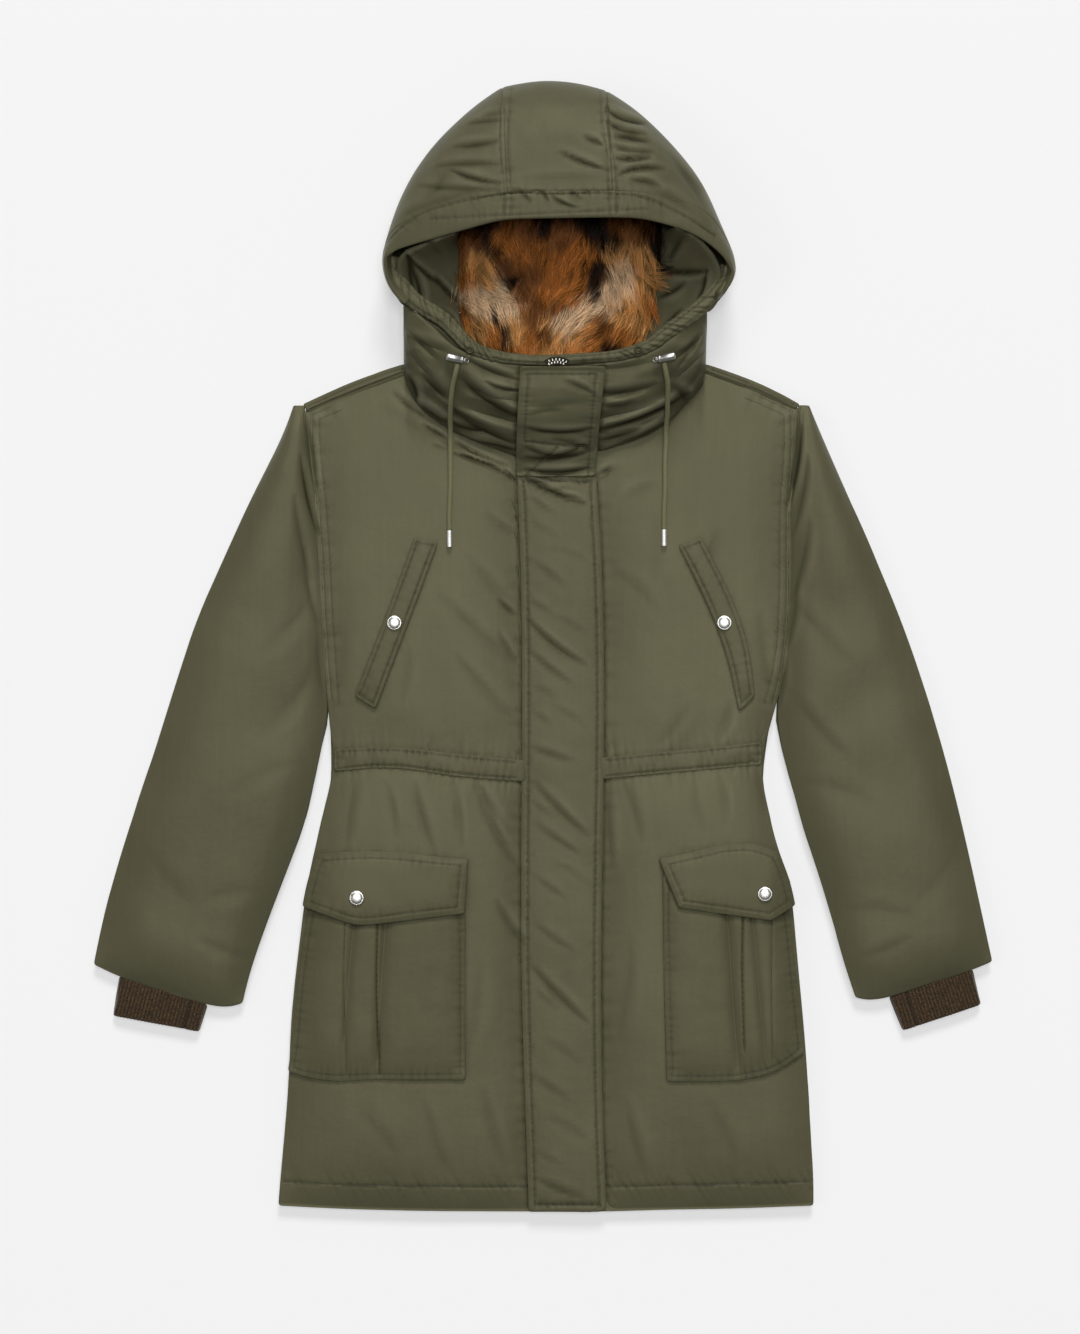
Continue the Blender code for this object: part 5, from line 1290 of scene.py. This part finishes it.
def makeTrims():
    for which, side in sides.items():
        makeCasing(which, side)
        for part, patch in patches.items():
            node = part + which
            thing, rim = smoothShell(node)
            edges = seamRuns(rim, patch["inset"])
            seams = linesOf(edges, **patch["seam"])
            shadowLines = []
            if part == "pocket_":
                for knots, depth, shade in pleats[which]:
                    shadowLines.append(smoothLine(knots))
                    seams.append(dict(line=shadowLines[-1], depth=depth, width=1.1, shade=shade))
                seams += contactOf(["flap_" + which], **underFlap)
                shadowLines += seamRuns(rimOf("flap_" + which), -1.2)
            relieve(thing, seams, patch["creases"], patch["swell"], calm=patch["calm"])
            layStitches(thing, edges)
            if shadowLines:
                layShadowTubes(thing, shadowLines)
            finishCloth(thing, node, patch["cloth"])


rib = {"pitch": 3.6, "depth": 0.6, "cell": 1.1, "underside": -0.3}
cuffSeam = {"fromEnd": 17, "width": 1.2, "depth": 0.8}


def makeCuffs():
    for which in sides:
        node = "cuff_" + which
        thing, rim = smoothShell(node, name="knit_" + node)
        mesh = bmesh.new()
        mesh.from_mesh(thing.data)
        for _ in range(3):
            edges = [edge for edge in longEdges(mesh, rib["cell"])
                     if max(vert.normal.z for vert in edge.verts) > rib["underside"]]
            bmesh.ops.subdivide_edges(mesh, edges=edges, cuts=1, use_grid_fill=True)
            mesh.normal_update()
        mesh.to_mesh(thing.data)
        mesh.free()
        points, normals = readPoints(thing), readNormals(thing)
        spread = rim[:, :2] - rim[:, :2].mean(axis=0)
        along = np.linalg.svd(resample(spread, 2.0, closed=True), full_matrices=False)[2][0]   # its long way
        place = points[:, :2] @ along
        wave = np.cos(place * 2 * math.pi / rib["pitch"])
        seam = np.exp(-((place - place.max() + cuffSeam["fromEnd"]) / cuffSeam["width"]) ** 2)
        facing = fade(normals[:, 2], rib["underside"], 0.5)
        lift = rib["depth"] * (wave - 0.6) / 2 - cuffSeam["depth"] * seam + undulation(points, 40, 0.5, 2)
        points += normals * (facing * lift)[:, None]
        points[:, 2] = np.maximum(points[:, 2], 0)
        writePoints(thing, points)
        # painted shade between the ribs and in the seam near the end
        writeShade(thing.data, "fold", np.clip(0.5 - 0.5 * wave + seam, 0, 1))
        thing.data.shade_smooth()
        finishCloth(thing, node, knit)


snap = {   # the half section of the cap: radius and height
    "steps": 40, "height": 3.0,
    "profile": [(0, 3.0), (2.5, 2.95), (4.4, 2.75), (5.6, 2.4), (6.1, 2.05), (6.4, 2.0), (6.9, 2.1),
                (7.3, 1.8), (7.5, 1.0), (7.4, 0.1), (0, 0)],
}
toggle = {   # the half section of the barrel: length and radius; its ring is at one end
    "steps": 28, "tilt": 12.0, "middle": 10.5, "above": 1.5,
    "barrel": [(0, 0), (0, 3.2), (0.4, 3.9), (1.2, 4.2), (14.2, 4.2), (14.6, 3.8), (15.2, 3.8), (15.6, 4.2),
               (17.2, 4.1), (17.6, 2.9), (20.4, 2.7), (20.8, 2.2), (20.8, 0)],
    "ring": {"radius": 2.4, "wire": 0.55, "place": (20.6, 0, 1.2), "tilt": 35.0},
}
eyelet = {"radius": 3.1, "wire": 1.0, "above": 2.6}
zipTop = {
    "teeth": 6, "pitch": 3.3, "radius": 19.0, "tooth": (1.4, 2.5, 1.5), "bevel": 0.25, "rowGap": 1.4,
    "above": 1.7, "tapeArc": 1.15, "tapeWidth": 8.5, "tapeThick": 2.4,
}


def sortFaces(mesh):
    # A spin leaves its faces in an order that changes from run to run, so their corners put them in order.
    mesh.verts.index_update()
    count = len(mesh.verts)
    mesh.faces.sort(key=lambda face: sum(vert.index * count ** k for k, vert in enumerate(face.verts)))


def spun(profile, steps, axis="Z"):
    # A turned part from the half outline of its section: radius and height, or length and radius along X.
    mesh = bmesh.new()
    if axis == "Z":
        places = [Vector((r, 0, z)) * mm for r, z in profile]
    else:
        places = [Vector((x, r, 0)) * mm for x, r in profile]
    verts = [mesh.verts.new(place) for place in places]
    edges = [mesh.edges.new(pair) for pair in zip(verts, verts[1:])]
    way = (0, 0, 1) if axis == "Z" else (1, 0, 0)
    bmesh.ops.spin(mesh, geom=verts + edges, cent=(0, 0, 0), axis=way, angle=2 * math.pi, steps=steps,
                   use_merge=True)
    bmesh.ops.remove_doubles(mesh, verts=mesh.verts, dist=0.01 * mm)
    bmesh.ops.recalc_face_normals(mesh, faces=mesh.faces)
    sortFaces(mesh)
    return mesh


def turn(mesh, angle, axis):
    bmesh.ops.rotate(mesh, verts=mesh.verts, cent=(0, 0, 0), matrix=Matrix.Rotation(angle, 3, axis))


def move(mesh, place):
    bmesh.ops.translate(mesh, verts=mesh.verts, vec=place)


def wireRing(mesh, radius, wire, place=(0, 0, 0), tilt=0.0):
    # A ring of wire added to a mesh.
    hoop = bmesh.new()
    bmesh.ops.create_circle(hoop, segments=10, radius=wire * mm)
    turn(hoop, math.pi / 2, "X")
    move(hoop, (radius * mm, 0, 0))
    bmesh.ops.spin(hoop, geom=hoop.verts[:] + hoop.edges[:], cent=(0, 0, 0), axis=(0, 0, 1),
                   angle=2 * math.pi, steps=24, use_merge=True)
    bmesh.ops.remove_doubles(hoop, verts=hoop.verts, dist=0.01 * mm)
    bmesh.ops.recalc_face_normals(hoop, faces=hoop.faces)
    sortFaces(hoop)
    turn(hoop, math.radians(tilt), "Y")
    move(hoop, Vector(place) * mm)
    data = bpy.data.meshes.new("hoop")
    hoop.to_mesh(data)
    hoop.free()
    mesh.from_mesh(data)
    bpy.data.meshes.remove(data)


def finishMetal(mesh, name, node, material):
    thing = toObject(mesh, name, material)
    thing.data.shade_smooth()
    finish(thing, node)


def topOf(node, above):
    # The place over the middle of a solid's top.
    low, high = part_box(node)
    return (low.x + high.x) / 2, (low.y + high.y) / 2, high.z + above * mm


def makeSnaps():
    for node in ("snap_chest_left", "snap_chest_right", "snap_flap_left", "snap_flap_right"):
        cap = spun(snap["profile"], snap["steps"])
        move(cap, topOf(node, -snap["height"]))
        finishMetal(cap, "cap_" + node, node, nickel)


def makeToggles():
    for which, side in sides.items():
        node = "toggle_" + which
        low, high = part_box(node)
        barrel = spun(toggle["barrel"], toggle["steps"], axis="X")
        wireRing(barrel, **toggle["ring"])
        move(barrel, (-toggle["middle"] * mm, 0, 0))
        if which == "right":   # its ring points the other way
            turn(barrel, math.pi, "Z")
        turn(barrel, math.radians(toggle["tilt"] * side), "Z")
        move(barrel, (low + high) / 2 + Vector((0, 0, toggle["above"] * mm)))
        finishMetal(barrel, "barrel_" + node, node, nickel)
        node = "eyelet_" + which
        ring = bmesh.new()
        wireRing(ring, eyelet["radius"], eyelet["wire"])
        move(ring, topOf(node, eyelet["above"]))
        finishMetal(ring, "ring_" + node, node, oliveEnamel)


def onArc(angle, reach, height, middle):
    # A place on the arc in which the zip's end lies.
    return Vector((math.sin(angle) * reach, math.cos(angle) * reach - zipTop["radius"], height)) * mm + middle


def makeZipTop():
    low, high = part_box("zip_top")
    middle = (low + high) / 2
    tape = bmesh.new()
    bmesh.ops.create_grid(tape, x_segments=22, y_segments=6, size=0.5)
    for vert in tape.verts:
        reach = zipTop["radius"] + vert.co.y * zipTop["tapeWidth"]
        vert.co = onArc(vert.co.x * zipTop["tapeArc"], reach, 0.0, middle)
    bmesh.ops.recalc_face_normals(tape, faces=tape.faces)
    cloth = toObject(tape, "tape_zip_top", tapeAndShadowNylon)
    wall = cloth.modifiers.new("wall", "SOLIDIFY")
    wall.thickness = zipTop["tapeThick"] * mm
    wall.offset = 0.0
    applyModifiers(cloth)
    finish(cloth, "zip_top")
    tooth = bmesh.new()
    bmesh.ops.create_cube(tooth, size=1.0)
    bmesh.ops.scale(tooth, vec=Vector(zipTop["tooth"]) * mm, verts=tooth.verts)
    bmesh.ops.bevel(tooth, geom=tooth.edges[:], offset=zipTop["bevel"] * mm, offset_type="OFFSET", segments=1,
                    profile=0.5, affect="EDGES", material=-1)
    places = []
    for i in range(zipTop["teeth"]):
        for row in (-1, 1):
            angle = (i - (zipTop["teeth"] - 1) / 2 + 0.25 * row) * zipTop["pitch"] / zipTop["radius"]
            place = onArc(angle, zipTop["radius"] + zipTop["rowGap"] * row, zipTop["above"], middle)
            places.append(Matrix.Translation(place) @ Matrix.Rotation(-angle, 4, "Z"))
    finish(joinedCopies(tooth, places, "teeth_zip_top", dullNickel))
    tooth.free()


def makeHardware():
    makeSnaps()
    makeToggles()
    makeZipTop()
    for which in sides:
        tip = nodes["cord_tip_" + which]
        tip.data.materials.clear()
        tip.data.materials.append(tipNickel)


# drawcords

cordRoutes = {
    "left": ((-86, 283, 64.0), (-88, 274, 62.5), (-91, 262, 56.0), (-93, 248, 48.5), (-94, 233, 38.0),
             (-94, 219, 28.2), (-94, 205, 23.5), (-94, 185, 23.8), (-94, 160, 25.5), (-95, 135, 25.7),
             (-95, 116, 25.7)),
    "right": ((122, 284, 64.0), (124, 274, 62.0), (126, 262, 55.5), (126, 248, 46.5), (126, 233, 36.0),
              (125, 219, 27.0), (125, 205, 23.8), (124, 185, 24.2), (124, 160, 25.5), (123, 135, 25.7),
              (123, 117, 25.7)),
}
cord = {"radius": 2.5, "step": 0.6, "sides": 16, "relief": 0.16, "pitch": 5.2, "strands": 8}


def braidHeights(points, line):
    # For each point of a tube, the higher of two strands that wind both ways, and the way out of the tube.
    nearest = np.linalg.norm(points[:, None] - line[None, ::3], axis=2).argmin(axis=1) * 3
    nearest = np.clip(nearest, 0, len(line) - 1)
    highs, outs = np.zeros(len(points)), np.zeros((len(points), 3))
    for i, (point, j) in enumerate(zip(points, nearest)):
        ahead = line[min(j + 1, len(line) - 1)] - line[max(j - 1, 0)]
        ahead /= np.linalg.norm(ahead)
        off = point - line[j]
        winding = (j * cord["step"] + off @ ahead) * 2 * math.pi / cord["pitch"] * 2
        off = off - (off @ ahead) * ahead
        angle = math.atan2(off[0], off @ np.cross([1.0, 0, 0], ahead)) * cord["strands"] / 2
        highs[i] = max(math.sin(winding + angle), math.sin(winding - angle))
        radius = np.linalg.norm(off)
        if radius > cord["radius"] * 0.5:   # not the middle of an end
            outs[i] = off / radius
    return highs, outs


def makeCords():
    for which, route in cordRoutes.items():
        line = smoothLine(route, cord["step"])
        data = tubeMesh("cord", [line * mm], cord["radius"], cord["sides"] // 2 - 2)
        thing = newPiece("drawcord_" + which, data)
        points = readPoints(thing)
        highs, outs = braidHeights(points, line)
        writePoints(thing, points + outs * (cord["relief"] * (highs - 0.6))[:, None])
        # painted shade: darker where the strands dip between each other
        writeShade(data, "braid", 0.5 + 0.5 * highs)
        data.shade_smooth()
        data.materials.append(braid)
        finish(thing, "cord_" + which)


# fur

fur = {
    "locks": 560, "hairs": 20, "rings": 4,
    "length": 35.0, "width": 0.85, "spread": 3.8, "back": 6.0,   # a hair is eight times as wide as a real one
    "under": 0.4, "sink": 9.0, "uneven": (26, 5.0, 3),           # the skin under the pile
    "side": 4.0, "top": 470.0,                                   # clear of the walls and the crown
    "rooted": 1.5, "root": 0.42, "tip": 1.08,                    # a hair starts in the skin, dark at its root
}
lockRange = {   # how locks differ: factors, rise and shift in mm, the bend, and the share of loose ones
    "length": (0.65, 1.15), "tint": (0.75, 1.4), "rise": (3, 11), "shift": 3.5, "bend": 0.2, "loose": 0.12,
}
hairRange = {   # and the hairs of one lock: factors, and the curl's own spread
    "length": (0.75, 1.05), "lift": (0.6, 1.15), "width": (0.55, 1.1), "tone": (0.6, 1.3), "curl": 0.07,
    "closing": (0.1, 0.4), "looseClosing": (0.6, 1.2),
}
furLocks = [   # the pelt's patches: x, y, way of the pile in degrees, colour, reach
    (-78, 410, 262, "brown", 16), (-56, 412, 268, "dark", 17), (-83, 396, 268, "brown", 12),
    (-70, 389, 268, "tan", 12), (-76, 369, 260, "rust", 9), (-59, 373, 320, "tan", 12),
    (-36, 383, 315, "brown", 12), (-30, 367, 325, "dark", 10), (-63, 353, 335, "cream", 14),
    (-45, 356, 335, "cream", 11), (-28, 354, 325, "brown", 8), (-66, 340, 312, "cream", 11),
    (-50, 328, 290, "dark", 6), (-31, 338, 275, "cream", 11), (-27, 325, 255, "tan", 11),
    (-10, 344, 255, "brown", 9), (-76, 335, 285, "rust", 9), (-65, 315, 305, "tan", 12),
    (-53, 309, 310, "rust", 9), (-41, 314, 290, "dark", 7), (-36, 302, 300, "dark", 6),
    (-27, 309, 285, "tan", 10), (-23, 295, 285, "rust", 8), (-42, 413, 268, "rust", 12),
    (-20, 417, 265, "brown", 14), (0, 423, 245, "dark", 12), (-23, 396, 268, "rust", 14),
    (-11, 384, 272, "brown", 14), (-10, 367, 275, "brown", 10), (3, 391, 262, "rust", 12),
    (9, 364, 258, "rust", 13), (18, 410, 262, "brown", 14), (31, 384, 238, "rust", 13),
    (21, 352, 240, "rust", 11), (35, 358, 232, "rust", 10), (38, 396, 240, "rust", 12),
    (9, 341, 255, "brown", 11), (0, 352, 250, "rust", 10), (53, 371, 245, "dark", 8),
    (48, 358, 235, "dark", 7), (55, 384, 255, "dark", 8), (74, 407, 262, "dark", 14),
    (52, 413, 262, "dark", 12), (81, 420, 262, "brown", 12), (99, 418, 262, "brown", 10),
    (117, 402, 262, "dark", 12), (80, 402, 300, "tan", 8), (68, 390, 305, "tan", 9),
    (81, 377, 305, "cream", 11), (94, 391, 300, "tan", 10), (101, 376, 295, "tan", 10),
    (61, 370, 290, "brown", 8), (71, 358, 275, "cream", 12), (86, 358, 288, "cream", 10),
    (60, 341, 240, "cream", 10), (68, 337, 262, "cream", 8), (47, 341, 228, "cream", 9),
    (35, 331, 228, "cream", 9), (22, 318, 235, "cream", 10), (12, 309, 250, "tan", 10),
    (100, 358, 270, "tan", 9), (93, 341, 250, "tan", 10), (107, 341, 260, "rust", 8),
    (81, 329, 230, "tan", 10), (96, 326, 250, "tan", 8), (58, 321, 200, "brown", 10),
    (47, 324, 215, "tan", 9), (52, 308, 240, "rust", 12), (65, 301, 260, "dark", 9),
    (77, 312, 250, "rust", 9), (35, 309, 245, "tan", 11), (34, 295, 265, "rust", 12),
    (2, 312, 265, "brown", 10), (-10, 303, 275, "rust", 11), (-2, 293, 275, "tan", 9),
    (15, 295, 262, "tan", 9), (-13, 326, 265, "brown", 10), (3, 326, 262, "tan", 9), (112, 370, 20, "tan", 4),
    (107, 345, 340, "tan", 4), (0, 470, 268, "dark", 26),
]
furColours = {"rust": "#C07A36", "brown": "#87552A", "dark": "#190D05", "tan": "#DDA663", "cream": "#FFDDB2"}


def furWeights(x, y):
    # How much each patch of the pelt counts at a place.
    return [np.exp(-((x - lock[0]) ** 2 + (y - lock[1]) ** 2) / (lock[4] * 0.8) ** 2) + 1e-7
            for lock in furLocks]


def furWay(x, y):
    # The way the pile lies at a place, from the patches around it.
    way = np.zeros(2)
    for weight, lock in zip(furWeights(x, y), furLocks):
        way += weight * np.array([math.cos(math.radians(lock[2])), math.sin(math.radians(lock[2]))])
    return way / np.linalg.norm(way)


def furTint(x, y):
    # The pelt's colour at many places.
    weights = np.array(furWeights(x, y)) ** 2
    colours = np.array([linear(furColours[lock[3]])[:3] for lock in furLocks])
    return (weights[:, :, None] * colours[:, None]).sum(axis=0) / weights.sum(axis=0)[:, None]


def writeTints(data, colours):
    tints = np.ones((len(colours), 4), np.float32)
    tints[:, :3] = colours
    data.color_attributes.new("furTint", "FLOAT_COLOR", "POINT").data.foreach_set("color", tints.ravel())


evenSteps = (0.7549, 0.5698)   # steps that spread places evenly over an area
hairCorners = [2 * math.pi * k / 3 + math.pi / 2 for k in range(3)]


def lockWay(x, y, length, rand):
    # The way a lock lies, from the pelt at its root and halfway along, with some swing of its own.
    way = furWay(x + rand.gauss(0, 3), y + rand.gauss(0, 3))
    further = furWay(x + way[0] * length / 2, y + way[1] * length / 2)
    way = (way + further) / np.linalg.norm(way + further)
    swing = noise.noise(Vector((x / 20, y / 20, 0))) * 0.4 + rand.gauss(0, 0.12)
    c, s = math.cos(swing), math.sin(swing)
    return np.array([way[0] * c - way[1] * s, way[0] * s + way[1] * c, 0.0])


def growHair(root, ahead, across, reach, curl, closing, lift, width):
    # One hair from its root: for each ring its place along, its centre and its three corners.
    rings = []
    for ring in range(fur["rings"]):
        t = ring / (fur["rings"] - 1)
        centre = root + ahead * reach * t + across * (curl * reach * t * t)
        centre = centre + across * closing * (t * t * (3 - 2 * t))
        centre[2] += lift * math.sin(math.pi * (0.06 + 0.8 * t)) - fur["rooted"]
        thick = width * (1 - 0.8 * t) / 2
        corners = [centre + across * math.cos(a) * thick + np.array([0, 0, math.sin(a) * thick])
                   for a in hairCorners]
        rings.append((t, centre, corners))
    return rings


def hairFaces(start):
    # The sides and the two ends of a hair, from the number of its first corner.
    faces = []
    for ring in range(fur["rings"] - 1):
        for k in range(3):
            a, b = start + ring * 3 + k, start + ring * 3 + (k + 1) % 3
            faces.append((a, b, b + 3, a + 3))
    last = start + (fur["rings"] - 1) * 3
    return faces + [(start + 2, start + 1, start), (last, last + 1, last + 2)]


def furPatch(name, locks, seed, tree, low, high):
    # Locks of hair, wide at the root and closed at the tip. Each ring of a hair has the pelt's colour there.
    rand = random.Random(seed)
    verts, tones, faces = [], [], []
    made = spot = 0
    while made < locks:
        spot += 1
        x = low.x + (high.x - low.x) * ((evenSteps[0] * (spot + seed * 40)) % 1)
        y = low.y + (high.y - low.y) * ((evenSteps[1] * (spot + seed * 40)) % 1)
        hit, normal = dropOn(tree, x, y)
        if hit is None or normal.z < steep["normal"]:
            continue
        length = fur["length"] * rand.uniform(*lockRange["length"])
        ahead = lockWay(x, y, length, rand)
        tipX, tipY = x + ahead[0] * length, y + ahead[1] * length
        offTheSkin = dropOn(tree, tipX, min(tipY, high.y))[0] is None
        if offTheSkin and rand.random() < 0.5 and tipY > low.y:
            continue
        made += 1
        across = np.array([-ahead[1], ahead[0], 0.0])
        shiftX, shiftY = rand.gauss(0, lockRange["shift"]), rand.gauss(0, lockRange["shift"])
        tint = rand.uniform(*lockRange["tint"])
        rise, bend = rand.uniform(*lockRange["rise"]), rand.gauss(0, lockRange["bend"])
        loose = rand.random() < lockRange["loose"]
        for _ in range(fur["hairs"]):
            off = rand.gauss(0, fur["spread"] * (2.0 if loose else 1.0))
            root = np.array(hit) / mm + across * off - ahead * rand.uniform(-fur["back"], fur["back"])
            tipOff = off * rand.uniform(*hairRange["looseClosing" if loose else "closing"])
            reach = length * rand.uniform(*hairRange["length"])
            curl = bend + rand.gauss(0, hairRange["curl"])
            lift = rise * rand.uniform(*hairRange["lift"])
            width = fur["width"] * rand.uniform(*hairRange["width"])
            tone = tint * rand.uniform(*hairRange["tone"])
            faces += hairFaces(len(verts))
            for t, centre, corners in growHair(root, ahead, across, reach, curl, tipOff - off, lift, width):
                verts += corners
                bright = tone * (fur["root"] + fur["tip"] * t ** 0.6)
                tones += [(centre[0] + shiftX, centre[1] + shiftY, bright)] * len(corners)
    data = bpy.data.meshes.new(name)
    data.from_pydata((np.array(verts) * mm).tolist(), [], faces)
    tones = np.array(tones)
    colours = (furTint(tones[:, 0], tones[:, 1]) * tones[:, 2:]).astype(np.float32)
    colours /= np.maximum(1, colours.max(axis=1, keepdims=True))   # the palest keep their hue
    writeTints(data, colours)
    data.shade_smooth()
    data.materials.append(furFibre)
    finish(newPiece(name, data))


def makeFur():
    base, _ = smoothShell("fur_lining", levels=2, name="fur_pile")
    points, normals = readPoints(base), readNormals(base)
    facing = np.clip(normals[:, 2], 0, 1)
    points[:, 2] -= fur["sink"] * facing
    points[:, 2] += undulation(points, *fur["uneven"]) * facing
    points[:, 2] = np.maximum(points[:, 2], 1.0)
    writePoints(base, points)
    writeTints(base.data, furTint(points[:, 0], points[:, 1]) * fur["under"])
    finishCloth(base, "fur_lining", underFur)
    tree = surfaceOf(base)
    low, high = (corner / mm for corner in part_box("fur_lining"))
    low.x, high.x, high.y = low.x + fur["side"], high.x - fur["side"], min(high.y, fur["top"])
    for name, seed in (("fur_locks_under", 17), ("fur_locks_over", 18)):
        furPatch(name, fur["locks"] // 2, seed, tree, low, high)


setTheStage()
print("stage set")
makeCords()
print("cords laid")
makeLowerLayer()
makeFronts()
makeSleeves()
print("fronts, back and sleeves")
makePlacket()
makeCollar()
makeHood()
makeTrims()
makeCuffs()
print("trims")
makeHardware()
makeFur()
print("fur")
sewStitches()
makeShadowTubes()
print("stitches")

total = sum(len(p.vertices) - 2 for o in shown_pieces() if o.type == "MESH" for p in o.data.polygons)
print("triangles", total)
